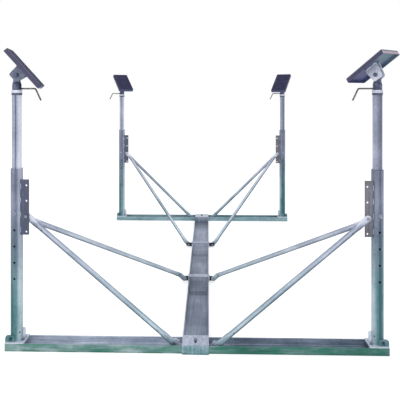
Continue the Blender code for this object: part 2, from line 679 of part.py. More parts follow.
def brace(name, upper, lower, steel):
    """A tube between two bolts, its ends flattened to tongues that both lie square to Y."""
    run = Vector((lower.x - upper.x, 0.0, lower.z - upper.z)).normalized()
    across = run.cross(Vector((0, 1, 0)))
    bends = (upper + run * TONGUE_STRAIGHT, lower - run * TONGUE_STRAIGHT)
    middle_run = (bends[1] - bends[0]).normalized()
    tip = TONGUE_HALF_WIDTH
    half_tongue = TONGUE / 2

    def rings(bolt, away, middle_away, bend):
        """Outer and inner rings from a tongue's rounded tip to where the tube is round."""
        outer = []
        through = away.cross(across)
        for share in (0.92, 0.6, 0.0):
            half_width = tip * math.sqrt(1 - share ** 2)
            outer.append(brace_section(bolt - away * tip * share, across, through, half_width, half_tongue, 0))
        bisector = (away + middle_away).normalized()
        outer.append(brace_section(bend, across, bisector.cross(across), tip, half_tongue, 0))
        inner = []
        through = middle_away.cross(across)
        for share in (1 / 3, 2 / 3, 1):
            centre = bend + middle_away * TONGUE_BLEND * share
            half_width = tip + (BRACE_RADIUS - tip) * share
            half_thickness = half_tongue + (BRACE_RADIUS - half_tongue) * share
            outer.append(brace_section(centre, across, through, half_width, half_thickness, share))
            inner.append(brace_section(centre, across, through, half_width - BRACE_WALL,
                                       half_thickness - BRACE_WALL, share))
        return outer, inner

    outer_start, inner_start = rings(upper, run, middle_run, bends[0])
    outer_end, inner_end = rings(lower, -run, -middle_run, bends[1])

    def mirror_order(ring):
        """The far end looks back along the brace, so its rings run the other way round."""
        return [ring[0]] + ring[:0:-1]

    mesh = bmesh.new()
    shells = (
        (outer_start, outer_end, False),
        (inner_start, inner_end, True),
    )
    for start, end, inward in shells:
        stations = start + [mirror_order(ring) for ring in reversed(end)]
        verts = [[mesh.verts.new(point - upper) for point in ring] for ring in stations]
        before = set(mesh.faces)
        close_faces(mesh, verts)
        made = [face for face in mesh.faces if face not in before]
        bmesh.ops.recalc_face_normals(mesh, faces=made)
        if inward:
            bmesh.ops.reverse_faces(mesh, faces=made)
    tube = finish(name, mesh, steel, upper, outward=False)

    holes = bmesh.new()
    for bolt in (upper, lower):
        start = bolt - upper - Vector((0, 2 * TONGUE, 0))
        lathe(holes, [(BOLT_RADIUS + BOLT_CLEARANCE, 0), (BOLT_RADIUS + BOLT_CLEARANCE, 4 * TONGUE)], HOLE_SIDES,
              along(start, (0, 1, 0)))
    towards_front = middle_run.cross(across)
    if towards_front.y > 0:
        towards_front.negate()
    for bend, away in zip(bends, (middle_run, -middle_run)):
        start = bend + away * (TONGUE_BLEND + VENT_DISTANCE) - upper
        lathe(holes, [(VENT_RADIUS, 0), (VENT_RADIUS, 2 * BRACE_RADIUS)], HOLE_SIDES, along(start, towards_front))
    combine(tube, "DIFFERENCE", name + "_holes", holes)


def brace_ends(corner):
    """Bolt centres of the long and the short brace, in the middle planes of their tongues."""
    axis_x = post_axis(corner)[0]
    planes = tongue_planes(corner)[0]
    upper_x = axis_x - corner.side * PLATE_HOLE_INSET
    strap_tongue = corner.end * (STRAP_OFFSET + LUG_PLATE / 2 + GAP + TONGUE / 2)
    return {
        "long": (Vector((upper_x, planes["long"], BRACE_BOLT_HEIGHT)),
                 Vector((corner.side * STRAP_BOLT_X, strap_tongue, STRAP_BOLT_Z))),
        "short": (Vector((upper_x, planes["short"], BRACE_BOLT_HEIGHT)),
                  Vector((corner.side * BEAM_LUG_X, planes["short"], BEAM_LUG_BOLT_Z))),
    }


def brace_bolt(corner, steel):
    """Bolt through the brace plate and both tongues on it."""
    upper = brace_ends(corner)["long"][0]
    front, back = tongue_planes(corner)[1:]
    mesh = bmesh.new()
    bolt_with_nut(mesh, along((0, 0, 0), (0, 1, 0)), back - front)
    finish(corner.name + "_brace_bolt", mesh, steel, (upper.x, front, upper.z))


def stop_pin(corner, steel):
    """Plain pin through both walls of the outer tube, with a collar and a knob to pull at the front."""
    axis_x, axis_y = post_axis(corner)
    collar_face = OUTER_RADIUS + GAP
    neck_start = collar_face + PIN_COLLAR
    knob_start = neck_start + PIN_NECK
    tail = OUTER_RADIUS + PIN_TAIL
    profile = [
        (PIN_KNOB_RADIUS, -knob_start - PIN_KNOB),
        (PIN_KNOB_RADIUS, -knob_start - PIN_CHAMFER),
        (PIN_RADIUS, -knob_start),
        (PIN_RADIUS, -neck_start),
        (PIN_COLLAR_RADIUS, -neck_start),
        (PIN_COLLAR_RADIUS, -collar_face),
        (PIN_RADIUS, -collar_face),
        (PIN_RADIUS, tail - PIN_CHAMFER),
        (PIN_RADIUS - PIN_CHAMFER, tail),
    ]
    mesh = bmesh.new()
    lathe(mesh, profile, HOLE_SIDES, along((0, 0, 0), (0, 1, 0)))
    finish(corner.name + "_stop_pin", mesh, steel, (axis_x, axis_y, PIN_HEIGHT))


def inner_post(corner, steel):
    """Inner tube with a collar round its top and a cap plate, through which the spindle passes."""
    axis_x, axis_y = post_axis(corner)
    inner = INNER_RADIUS - INNER_WALL
    bore = bore_radius(SPINDLE_RADIUS, RUNNING_CLEARANCE, TUBE_SIDES)
    rim = INNER_TOP - corner.drop
    cap_top = CAP_TOP - corner.drop
    profile = [
        (INNER_RADIUS, INNER_BOTTOM),
        (INNER_RADIUS, rim - COLLAR_DEPTH),
        (COLLAR_RADIUS, rim - COLLAR_DEPTH),
        (COLLAR_RADIUS, cap_top),
        (bore, cap_top),
        (bore, rim),
        (inner, rim),
        (inner, INNER_BOTTOM),
    ]
    mesh = bmesh.new()
    lathe(mesh, profile, TUBE_SIDES, closed_profile=True)
    finish(corner.name + "_inner_post", mesh, steel, (axis_x, axis_y, 0))


def crank_nut(corner, steel):
    """Jack nut with a bent round bar welded into its side as a handle."""
    axis_x, axis_y = post_axis(corner)
    bore = bore_radius(SPINDLE_RADIUS, RUNNING_CLEARANCE, ROUND_SIDES)
    profile = [
        (NUT_RADIUS, NUT_BOTTOM),
        (NUT_RADIUS, NUT_TOP - NUT_CHAMFER),
        (NUT_RADIUS - NUT_CHAMFER, NUT_TOP),
        (bore, NUT_TOP),
        (bore, NUT_BOTTOM),
    ]
    mesh = bmesh.new()
    lathe(mesh, profile, ROUND_SIDES, closed_profile=True)
    turn = (0, 0, math.radians(corner.crank_azimuth))
    nut = finish(corner.name + "_crank_nut", mesh, steel, (axis_x, axis_y, -corner.drop), turn)

    droop = math.radians(CRANK_DROOP)
    centre_x = CRANK_REACH - CRANK_BEND_RADIUS * math.tan(droop / 2)
    path = [(NUT_RADIUS - CRANK_SOCKET, CRANK_HEIGHT)]
    path += arc((centre_x, CRANK_HEIGHT - CRANK_BEND_RADIUS), CRANK_BEND_RADIUS, 90, 90 - CRANK_DROOP, 3)
    tangents = [0.0, 0.0, droop / 3, droop * 2 / 3, droop, droop]
    last = path[-1]
    path.append((last[0] + CRANK_GRIP * math.cos(droop), last[1] - CRANK_GRIP * math.sin(droop)))
    rod = bmesh.new()
    rings = []
    for (x, z), fall in zip(path, tangents):
        across = Vector((math.sin(fall), 0, math.cos(fall)))
        ring = []
        for side in range(ROD_SIDES):
            angle = 2 * math.pi * side / ROD_SIDES
            offset = across * math.cos(angle) + Vector((0, 1, 0)) * math.sin(angle)
            ring.append(rod.verts.new(Vector((x, 0, z)) + offset * CRANK_ROD_RADIUS))
        rings.append(ring)
    close_faces(rod, rings)
    combine(nut, "UNION", corner.name + "_crank_rod", rod)


def spindle(corner, steel):
    """Threaded spindle, drawn at its outer size, with a reduced spigot at the top for the head."""
    axis_x, axis_y = post_axis(corner)
    profile = [
        (SPINDLE_RADIUS - SPINDLE_CHAMFER, SPINDLE_BOTTOM),
        (SPINDLE_RADIUS, SPINDLE_BOTTOM + SPINDLE_CHAMFER),
        (SPINDLE_RADIUS, SHOULDER),
        (SPIGOT_RADIUS, SHOULDER),
        (SPIGOT_RADIUS, SHOULDER + SPIGOT_LENGTH),
    ]
    mesh = bmesh.new()
    lathe(mesh, profile, ROUND_SIDES)
    finish(corner.name + "_spindle", mesh, steel, (axis_x, axis_y, -corner.drop))


def swivel_head(corner, turntable, steel):
    """Round base and flat neck in one forging, with a cross bore for the pivot and a blind bore below."""
    mesh = bmesh.new()
    half = NECK_WIDTH / 2
    foot = HEAD_BASE / 2
    outline = [(-half, foot), (half, foot)] + arc((0, PIVOT_RISE), half, 0, 180, 2 * CORNER_STEPS)
    pivot_bore = bore_radius(PIVOT_RADIUS, RUNNING_CLEARANCE, ROUND_SIDES)
    hole = circle((0, PIVOT_RISE), pivot_bore, ROUND_SIDES)
    prism(mesh, outline, NECK_THICKNESS, facing_back(0, -NECK_THICKNESS / 2, 0), [hole])
    head = finish(corner.name + "_swivel_head", mesh, steel, parent=turntable)

    base = bmesh.new()
    lathe(base, [(HEAD_BASE_RADIUS, 0), (HEAD_BASE_RADIUS, HEAD_BASE)], ROUND_SIDES)
    combine(head, "UNION", corner.name + "_head_base", base)

    bore = bmesh.new()
    depth = SPIGOT_LENGTH - GAP + SPIGOT_ROOM
    radius = bore_radius(SPIGOT_RADIUS, RUNNING_CLEARANCE, ROUND_SIDES)
    lathe(bore, [(radius, -HEAD_BASE), (radius, depth)], ROUND_SIDES)
    combine(head, "DIFFERENCE", corner.name + "_head_bore", bore)


def ear_inner_face():
    return NECK_THICKNESS / 2 + GAP


def pad_tray(corner, pivot, steel):
    """Pressed pan, open downwards, with two ears under it that hold the pivot bolt."""
    outer = rounded_rectangle(PAD_LENGTH / 2, PAD_WIDTH / 2, PAD_CORNER)
    wall = TRAY_PLATE
    inner = rounded_rectangle(PAD_LENGTH / 2 - wall, PAD_WIDTH / 2 - wall, PAD_CORNER - wall)
    under = TRAY_TOP - TRAY_PLATE
    mesh = bmesh.new()
    rings = []
    for outline, height in ((inner, under), (inner, TRAY_RIM_BOTTOM), (outer, TRAY_RIM_BOTTOM), (outer, TRAY_TOP)):
        rings.append([mesh.verts.new((x, y, height)) for x, y in outline])
    close_faces(mesh, rings)
    tray = finish(corner.name + "_pad_tray", mesh, steel, parent=pivot)

    ears = bmesh.new()
    low = -EAR_DROP
    root = under + TRAY_PLATE / 2
    foot = EAR_FOOT_HALF_WIDTH
    outline = [(EAR_TOP_HALF_WIDTH, root)]
    outline += [(foot - EAR_CORNER + x, low + EAR_CORNER + z) for x, z in arc((0, 0), EAR_CORNER, 0, -90, 3)]
    outline += [(-x, z) for x, z in reversed(outline)]
    hole = circle((0, 0), PIVOT_RADIUS + BOLT_CLEARANCE, ROUND_SIDES)
    for start in (ear_inner_face(), -ear_inner_face() - EAR_PLATE):
        prism(ears, outline, EAR_PLATE, facing_back(0, start, 0), [hole])
    combine(tray, "UNION", corner.name + "_pad_ears", ears)


def pad_facing(corner, pivot, rubber):
    inset = FACING_INSET
    outline = rounded_rectangle(PAD_LENGTH / 2 - inset, PAD_WIDTH / 2 - inset, PAD_CORNER - inset)
    mesh = bmesh.new()
    prism(mesh, outline, FACING, Matrix.Translation((0, 0, FACING_BOTTOM)))
    finish(corner.name + "_pad_facing", mesh, rubber, parent=pivot)


def pivot_bolt(corner, pivot, steel):
    """Round-headed bolt through both ears and the neck, with a hexagon nut."""
    face = ear_inner_face() + EAR_PLATE + GAP
    flat = PIVOT_FLATS / 2
    profile = [
        (PIVOT_CROWN_RADIUS, -face - PIVOT_HEAD),
        (PIVOT_HEAD_RADIUS, -face - PIVOT_HEAD / 2),
        (PIVOT_HEAD_RADIUS, -face),
        (PIVOT_RADIUS, -face),
        (PIVOT_RADIUS, face),
        (flat, face),
        (flat, face + PIVOT_HEAD),
        (PIVOT_RADIUS, face + PIVOT_HEAD),
        (PIVOT_RADIUS, face + PIVOT_HEAD + BOLT_STICKOUT),
    ]
    mesh = bmesh.new()
    lathe(mesh, profile, 2 * BOLT_SIDES, along((0, 0, 0), (0, 1, 0)), hexagons=(5, 6))
    finish(corner.name + "_pivot_bolt", mesh, steel, parent=pivot)


def build_corner(corner, galvanised, zinc, rubber):
    axis_x, axis_y = post_axis(corner)
    outer_post(corner, galvanised)
    brace_plate(corner, galvanised)
    for kind, (upper, lower) in brace_ends(corner).items():
        brace(f"{corner.name}_{kind}_brace", upper, lower, galvanised)
    brace_bolt(corner, zinc)
    stop_pin(corner, zinc)
    inner_post(corner, galvanised)
    crank_nut(corner, galvanised)
    spindle(corner, zinc)
    turn = (0, 0, math.radians(corner.pad_azimuth))
    turntable = empty(corner.name + "_turntable", (axis_x, axis_y, HEAD_BOTTOM - corner.drop), turn)
    swivel_head(corner, turntable, galvanised)
    tilt = (0, math.radians(corner.pad_tilt), 0)
    pivot = empty(corner.name + "_pivot", (0, 0, PIVOT_RISE), tilt, turntable)
    pad_tray(corner, pivot, galvanised)
    pad_facing(corner, pivot, rubber)
    pivot_bolt(corner, pivot, zinc)


def build():
    clear_scene()
    galvanised = material("galvanised_steel", (0.50, 0.53, 0.60), 0.38, 0.85)
    zinc = material("zinc_plated", (0.42, 0.45, 0.50), 0.35, 0.9)
    rubber = material("pad_rubber", (0.045, 0.045, 0.085), 0.75, 0.0)
    spine(galvanised)
    for end, name in ((-1, "front"), (1, "rear")):
        beam(name + "_beam", end, galvanised)
        saddle(name + "_saddle", end, galvanised)
        lug_strap(name + "_strap", end, galvanised)
    for corner in CORNERS:
        build_corner(corner, galvanised, zinc, rubber)


build()
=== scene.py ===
"""The looks of a galvanised storage cradle for a keel boat.

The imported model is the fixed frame. Each section makes one piece or one group of like pieces, in the order in
which the cradle is put together, with its sizes, its mesh and its finish. Metres, +Z up, +Y from the front
beam to the rear.
"""

import json
import math

import bpy
import numpy as np
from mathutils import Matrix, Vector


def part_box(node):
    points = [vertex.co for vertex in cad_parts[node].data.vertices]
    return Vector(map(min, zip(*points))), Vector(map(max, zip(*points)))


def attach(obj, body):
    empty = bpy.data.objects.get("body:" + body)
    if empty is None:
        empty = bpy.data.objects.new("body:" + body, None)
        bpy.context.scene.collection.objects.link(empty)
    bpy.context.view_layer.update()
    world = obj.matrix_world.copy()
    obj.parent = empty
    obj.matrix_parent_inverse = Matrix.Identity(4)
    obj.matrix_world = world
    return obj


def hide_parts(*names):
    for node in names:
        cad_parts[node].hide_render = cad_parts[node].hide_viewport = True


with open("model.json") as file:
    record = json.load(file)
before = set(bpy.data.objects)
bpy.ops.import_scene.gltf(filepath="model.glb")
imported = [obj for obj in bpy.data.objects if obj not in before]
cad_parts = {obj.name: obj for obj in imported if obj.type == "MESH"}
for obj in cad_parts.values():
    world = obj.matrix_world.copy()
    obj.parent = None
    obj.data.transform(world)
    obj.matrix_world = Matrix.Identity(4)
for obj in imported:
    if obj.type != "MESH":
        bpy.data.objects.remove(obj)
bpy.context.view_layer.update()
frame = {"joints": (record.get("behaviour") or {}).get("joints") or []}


# Spine: the wide channel that joins the two cross beams, lying on the ground with its flanges up. A rolled
# section cut to length, with the round toes and inner fillets that rolling leaves, then dipped in molten
# zinc, which crystallises in spangles and drains along the section in streaks.

SPINE_FLANGE = 0.010
SPINE_WEB = 0.008
SPINE_ROOT = 0.009              # radius of the inner fillets
SPINE_TOE = 0.003
SPINE_HEEL = 0.002
BROKEN_EDGE = 0.0006
ARC_STEPS = 5

# The zinc's shades from dark to bright: high up, and near the ground
ZINC_HIGH = ((76, 82, 104), (122, 130, 151), (164, 170, 192), (216, 220, 234))
# The low row's teal is a painted reflection of the grass.
ZINC_LOW_REFLECTION = ((30, 98, 100), (106, 144, 152), (158, 186, 194), (210, 226, 230))


def rounded(corners, radii, steps=ARC_STEPS):
    """A closed outline whose corners are arcs.

    Each arc's centre lies on the corner's bisector, radius / sin(half the angle) from the corner, and the
    points between its two tangent points are their spherical mean: (a sin((1-k)t) + b sin(kt)) / sin(t).
    """
    corners = np.asarray(corners, float)
    radii = np.broadcast_to(np.asarray(radii, float), len(corners))[:, None]
    before = np.roll(corners, 1, 0) - corners
    after = np.roll(corners, -1, 0) - corners
    before /= np.linalg.norm(before, axis=1, keepdims=True)
    after /= np.linalg.norm(after, axis=1, keepdims=True)
    half = np.arccos((before * after).sum(1, keepdims=True)) / 2
    bisector = before + after
    bisector /= np.linalg.norm(bisector, axis=1, keepdims=True)
    centre = corners + bisector * radii / np.sin(half)
    start = corners + before * radii / np.tan(half) - centre
    end = corners + after * radii / np.tan(half) - centre
    turn = (math.pi - 2 * half)[:, :, None]
    share = np.linspace(0, 1, steps + 1)[None, :, None]
    arcs = start[:, None] * np.sin((1 - share) * turn) + end[:, None] * np.sin(share * turn)
    return (centre[:, None] + arcs / np.sin(turn)).reshape(-1, 2)


def grid(rows, columns, wrap_rows=False, wrap_columns=False):
    """Quads over points that are numbered row by row, closed on themselves where they wrap."""
    row = np.arange(rows if wrap_rows else rows - 1)[:, None]
    column = np.arange(columns if wrap_columns else columns - 1)[None, :]
    next_row = (row + 1) % rows
    next_column = (column + 1) % columns
    corners = (row * columns + column, row * columns + next_column,
               next_row * columns + next_column, next_row * columns + column)
    return np.stack(corners, -1).reshape(-1, 4)


def stacked(rings, closed=False):
    """A closed shape from equal rings of points: quads between the rings, and a flat cap on each end."""
    rings = np.asarray(rings, float)
    rows, columns = rings.shape[:2]
    faces = [grid(rows, columns, wrap_rows=closed, wrap_columns=True)]
    if not closed:
        cap = np.arange(columns)[None]
        faces += [cap[:, ::-1], cap + (rows - 1) * columns]
    return rings.reshape(-1, 3), faces


def extruded(outline, start, end):
    """An outline in X and Y, carried straight along Z from start to end."""
    flat = np.broadcast_to(outline, (2, *np.shape(outline)))
    level = np.broadcast_to(np.array([start, end])[:, None, None], (2, len(outline), 1))
    return stacked(np.concatenate([flat, level], -1))


def turned(profile, sides, closed=False, flats=None):
    """A profile of radii and heights turned about Z.

    Where a row has a flat, its ring is a hexagon, flat / cos(angle from the flat's middle), held to the row's
    radius.
    """
    profile = np.asarray(profile, float)
    angle = 2 * math.pi * (np.arange(sides) + 0.5) / sides
    radius = np.repeat(profile[:, :1], sides, 1)
    if flats is not None:
        from_middle = (angle + math.pi / 6) % (math.pi / 3) - math.pi / 6
        radius = np.minimum(radius, np.asarray(flats, float)[:, None] / np.cos(from_middle))
    height = np.repeat(profile[:, 1:], sides, 1)
    return stacked(np.stack([radius * np.cos(angle), radius * np.sin(angle), height], -1), closed)


def axes(x=(1, 0, 0), y=(0, 1, 0), z=(0, 0, 1), origin=(0, 0, 0)):
    """The matrix that takes a piece's own X, Y and Z to these directions, and its origin to this point."""
    place = np.eye(4)
    place[:3, :3] = np.array([x, y, z], float).T
    place[:3, 3] = origin
    return place


def along(origin, direction):
    """The matrix that stands a piece's own Z along a direction."""
    z = np.asarray(direction, float) / np.linalg.norm(direction)
    helper = np.array([0.0, 0, 1]) if abs(z[2]) < 0.9 else np.array([0.0, 1, 0])
    x = np.cross(helper, z)
    x /= np.linalg.norm(x)
    return axes(x, np.cross(z, x), z, origin)


class Piece:
    """Closed shapes gathered into one mesh, each with its faces turned outwards.

    Every point keeps its place in its shape's own frame, whose Z runs along the steel, as the attribute
    "grain".
    """

    made = 0

    def __init__(self):
        self.points, self.grain, self.faces, self.count = [], [], [], 0
        Piece.made += 1

    def add(self, shape, place=None, grain=None):
        """Add a shape. The sum of a . (b x c) over the fans of its faces, six times its volume, orients it.
        """
        points, blocks = shape
        grain = points if grain is None else grain
        if place is not None:
            points = points @ place[:3, :3].T + place[:3, 3]
        used, index = np.unique(np.concatenate([block.ravel() for block in blocks]), return_inverse=True)
        points, grain = points[used], grain[used]
        blocks = [part.reshape(block.shape) for part, block in zip(
            np.split(index, np.cumsum([block.size for block in blocks])[:-1]), blocks)]
        volume = 0.0
        for block in blocks:
            corner = points[block]
            volume += (corner[:, :1] * np.cross(corner[:, 1:-1], corner[:, 2:])).sum()
        for block in blocks:
            self.faces += (block[:, ::(1 if volume > 0 else -1)] + self.count).tolist()
        self.points.append(points)
        self.grain.append(grain + (0, 0, 1.7 * Piece.made))
        self.count += len(points)

    def finish(self, name, material, nodes, body="root", slot="galvanised", edge=0):
        """Make the object, bevel its sharp edges where an edge is given, and tie it to the frame."""
        mesh = bpy.data.meshes.new(name)
        mesh.from_pydata(np.concatenate(self.points).tolist(), [], self.faces)
        kept = mesh.attributes.new("grain", "FLOAT_VECTOR", "POINT")
        kept.data.foreach_set("vector", np.concatenate(self.grain).astype(np.float32).ravel())
        mesh.shade_smooth()
        mesh.materials.append(material)
        piece = bpy.data.objects.new(name, mesh)
        bpy.context.scene.collection.objects.link(piece)
        if edge:
            bevel = piece.modifiers.new("broken_edges", "BEVEL")
            bevel.limit_method = "ANGLE"
            bevel.angle_limit = math.radians(50)
            bevel.width = edge
            bevel.segments = 2
            bevel.use_clamp_overlap = True
        piece.modifiers.new("even_shading", "WEIGHTED_NORMAL")
        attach(piece, body)
        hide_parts(*nodes)
        return piece


def colour(steps):
    """Linear values of a colour in steps of 255: c / 12.92 when dark, else ((c + 0.055) / 1.055) ^ 2.4."""
    share = np.asarray(steps, float) / 255
    linear = np.where(share <= 0.04045, share / 12.92, ((share + 0.055) / 1.055) ** 2.4)
    return (*linear.tolist(), 1.0)


class Value:
    """One output of a material's nodes. Arithmetic on values adds Math nodes."""

    def __init__(self, finish, output):
        self.finish, self.output = finish, output

    def math(self, operation, *others):
        inputs = dict(enumerate((self, *others)))
        return self.finish.node("Math", {"operation": operation}, inputs)

    def __add__(self, other):
        return self.math("ADD", other)

    def __sub__(self, other):
        return self.math("SUBTRACT", other)

    def __mul__(self, other):
        return self.math("MULTIPLY", other)

    def __truediv__(self, other):
        return self.math("DIVIDE", other)

    def __rsub__(self, other):
        return self * -1.0 + other

    __radd__ = __add__
    __rmul__ = __mul__

    def size(self):
        return self.math("ABSOLUTE")

    def over(self, start, end):
        """A soft step from 0 at start to 1 at end: 3 t^2 - 2 t^3, t being the share of the way."""
        return self.finish.node("MapRange", {"interpolation_type": "SMOOTHSTEP"},
                                {"Value": self, "From Min": start, "From Max": end})


class Finish:
    """A material on one shader, and the one way in which its nodes are made."""

    def __init__(self, name, metallic, roughness):
        self.material = bpy.data.materials.new(name)
        self.material.use_nodes = True
        self.tree = self.material.node_tree
        self.shader = self.tree.nodes["Principled BSDF"]
        self.feed("Metallic", metallic)
        self.feed("Roughness", roughness)

    def feed(self, socket, value):
        """Set one of the shader's sockets, or link it."""
        self.connect(self.shader.inputs[socket], value)

    def connect(self, socket, value):
        if isinstance(value, Value):
            self.tree.links.new(value.output, socket)
        else:
            socket.default_value = value

    def node(self, kind, settings=None, inputs=None, output=0):
        """One output of a new node: its settings come first, a ramp's stops among them, then its sockets."""
        made = self.tree.nodes.new("ShaderNode" + kind)
        for key, value in (settings or {}).items():
            if key == "stops":
                ramp = made.color_ramp.elements
                while len(ramp) < len(value):
                    ramp.new(1.0)
                for element, (position, shade) in zip(ramp, value):
                    element.position, element.color = position, shade
            else:
                setattr(made, key, value)
        for key, value in (inputs or {}).items():
            self.connect(made.inputs[key], value)
        return Value(self, made.outputs[output])

    def place(self):
        return self.node("TexCoord", output="Object")

    def grain(self):
        return self.node("Attribute", {"attribute_name": "grain"}, output="Vector")

    def axis(self, vector, index):
        return self.node("SeparateXYZ", inputs={0: vector}, output=index)

    def noise(self, vector, scale, detail=3.0, stretch=(1, 1, 1)):
        """Soft noise from 0 to 1, with its own scale along each axis."""
        stretched = self.node("VectorMath", {"operation": "MULTIPLY"}, {0: vector, 1: stretch})
        return self.node("TexNoise", inputs={"Vector": stretched, "Scale": scale, "Detail": detail})

    def cells(self, vector, scale):
        """A value from 0 to 1 for each crystal of a random packing."""
        found = self.node("TexVoronoi", inputs={"Vector": vector, "Scale": scale}, output="Color")
        return self.node("SeparateColor", inputs={0: found})

    def mix(self, first, second, share):
        """Two colours mixed by a share from 0 to 1."""
        return self.node("Mix", {"data_type": "RGBA", "clamp_factor": True}, {0: share, 6: first, 7: second},
                         output=2)

    def bump(self, height, distance, strength):
        """Raise the surface by a height from 0 to 1 times the distance."""
        bump = self.node("Bump", inputs={"Strength": strength, "Distance": distance, "Height": height})
        self.feed("Normal", bump)


def galvanised(name, base=0.5, streaks=0.5, reflection_stripes=(), radius=1.0, bands=(), cool=1.0,
               rows=(ZINC_HIGH, ZINC_LOW_REFLECTION), front=None, tips=None):
    """Hot-dip galvanised steel.

    Its tone is a base, plus noise drawn out along the steel, plus the spangle's crystals. Each stripe along a
    tube is a painted reflection: it takes off its amount, one high up and another near the ground, at its
    middle in units of the radius, and fades to none at its half width, a negative amount making it a painted
    highlight; each band across the spine takes off its own. The tone picks the shade from the high row, which
    gives way to the low row near the ground by the share cool; the low row's teal is a painted reflection of
    the grass. On the face before the front beam a third row of reflected shades takes over, with a tone of its
    own to be taken off, and grows darker rightwards and, in a painted shadow, at the ground. Tips are brighter
    than the rest by their amount.
    """
    zinc = Finish(name, 0.35, 0.45)
    place, grain = zinc.place(), zinc.grain()
    height, depth, reach = (zinc.axis(place, index) for index in (2, 1, 0))
    run = zinc.noise(grain, 1.0, 4.0, (75, 75, 3.5))
    patches = zinc.noise(place, 4.5, 3.0)
    spangle = zinc.cells(place, 85.0)
    fine = zinc.cells(place, 230.0)
    tone = (run - 0.5) * (2.4 * streaks) + (patches - 0.5) * 0.7
    tone = tone + (spangle - 0.5) * 0.10 + (fine - 0.5) * 0.03 + base
    # The low row's share: its teal is a painted reflection of the grass, strongest near the ground.
    low = height.over(1.05, 0.20) * (zinc.noise(place, 3.0, 2.0).over(0.2, 0.7) * 0.3 + 0.7) * cool
    wander = (zinc.noise(grain, 1.0, 2.0, (4, 4, 5)) - 0.5) * 0.16
    # Stripes along tubes: painted reflections, dark, and bright as painted highlights where the amount is
    # negative.
    for middle, half, amount, amount_low in reflection_stripes:
        across = (zinc.axis(grain, 0) / radius + wander - middle).size()
        tone = tone - across.over(half, 0.0) * (low * (amount_low - amount) + amount)
    for middle, width, amount in bands:
        near = (depth - middle).size()
        tone = tone - near.over(width / 2 + 0.006, width / 2 - 0.006) * amount
    if tips:
        tone = tone + height.over(0.82, 0.85) * tips
    tones = [tone, tone]
    if front:
        facing, drop, right, face = front
        rows = (*rows, facing)
        tone = tone - reach.over(-0.1, 0.4) * right
        # The face's foot darkens in a painted contact shadow where it meets the ground.
        tones = [tone, tone, tone - drop - height.over(0.009, 0.004) * 0.6]
    shades = []
    for row, level in zip(rows, tones):
        stops = [(stop, colour(shade)) for stop, shade in zip((0, 0.35, 0.65, 1), row)]
        shades.append(zinc.node("ValToRGB", {"stops": stops}, {0: level}))
    steel = zinc.mix(shades[0], shades[1], low)
    if front:
        patch = zinc.noise(place, 1.0, 3.0, (9, 30, 30)).over(0.3, 0.6) * 0.4 + 0.6
        steel = zinc.mix(steel, shades[2], depth.over(face + 0.002, face - 0.002) * patch)
    zinc.feed("Base Color", steel)
    zinc.feed("Roughness", (spangle - 0.5) * 0.14 + (run - 0.5) * 0.25 + 0.45)
    zinc.bump(spangle * 0.5 + zinc.noise(place, 320.0, 2.0) * 0.6, 0.0004, 0.35)
    return zinc.material


spine_low, spine_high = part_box("spine")
half = spine_high.x
inner = half - SPINE_FLANGE
outline = rounded(
    [(-half, 0), (half, 0), (half, spine_high.z), (inner, spine_high.z),
     (inner, SPINE_WEB), (-inner, SPINE_WEB), (-inner, spine_high.z), (-half, spine_high.z)],
    [SPINE_HEEL, SPINE_HEEL, 0.001, SPINE_TOE, SPINE_ROOT, SPINE_ROOT, SPINE_TOE, 0.001])
Y_RUN = axes((1, 0, 0), (0, 0, 1), (0, 1, 0))
zinc_spine = galvanised("galvanised_spine", base=0.38, streaks=0.22, cool=0.12, bands=(
    (-0.627, 0.072, 0.24), (0.165, 0.068, 0.22), (1.12, 0.26, 0.26), (0.68, 0.80, -0.14),
    (-0.75, 0.70, 0.10)))
spine = Piece()
spine.add(extruded(outline, spine_low.y, spine_high.y), Y_RUN)
spine.finish("spine_channel", zinc_spine, ["spine"], edge=BROKEN_EDGE)


# Cross beams: two narrower channels, also lying with their flanges up, one at each end of the spine. A bridge
# plate is welded between the flanges under each post and a rounded lug stands beside the spine for each short
# brace; a stud is welded to the web for the saddle. The whole is dipped after welding.

BEAM_MIDDLE = 1.350             # from the cradle's middle
BEAM_TOP = 0.050
BEAM_WALL = 0.006
BEAM_ROOT = 0.006
BEAM_TOE = 0.002
BRIDGE = 0.006
BRIDGE_LENGTH = 0.125
LUG_X = 0.142                   # of each beam lug's middle
LUG_HALF_WIDTH = 0.033
LUG_PLATE = 0.008
LUG_TOP = 0.070
LUG_SHOULDER = 0.0165
LUG_FACES = {("front", -1): -1.3594, ("front", 1): -1.3803, ("rear", -1): 1.3260, ("rear", 1): 1.3260}
LUG_WELD = 0.0028               # this and the other welds: the bead's radius
BRIDGE_WELD = 0.0018
BITE = 0.0015                   # how far a part reaches into the one that it is welded to
# The front beam's face takes this green row: a painted reflection of the grass before it.
ZINC_GRASS_REFLECTION = ((18, 92, 76), (52, 118, 104), (104, 144, 138), (150, 178, 172))
X_RUN = axes((0, 1, 0), (0, 0, 1), (1, 0, 0))
ENDS = {"front": -1, "rear": 1}


def facing_rear(origin):
    """Stands a plate that is drawn in X and Y upright, its own Z pointing to the rear."""
    return axes((1, 0, 0), (0, 0, 1), (0, 1, 0), origin)


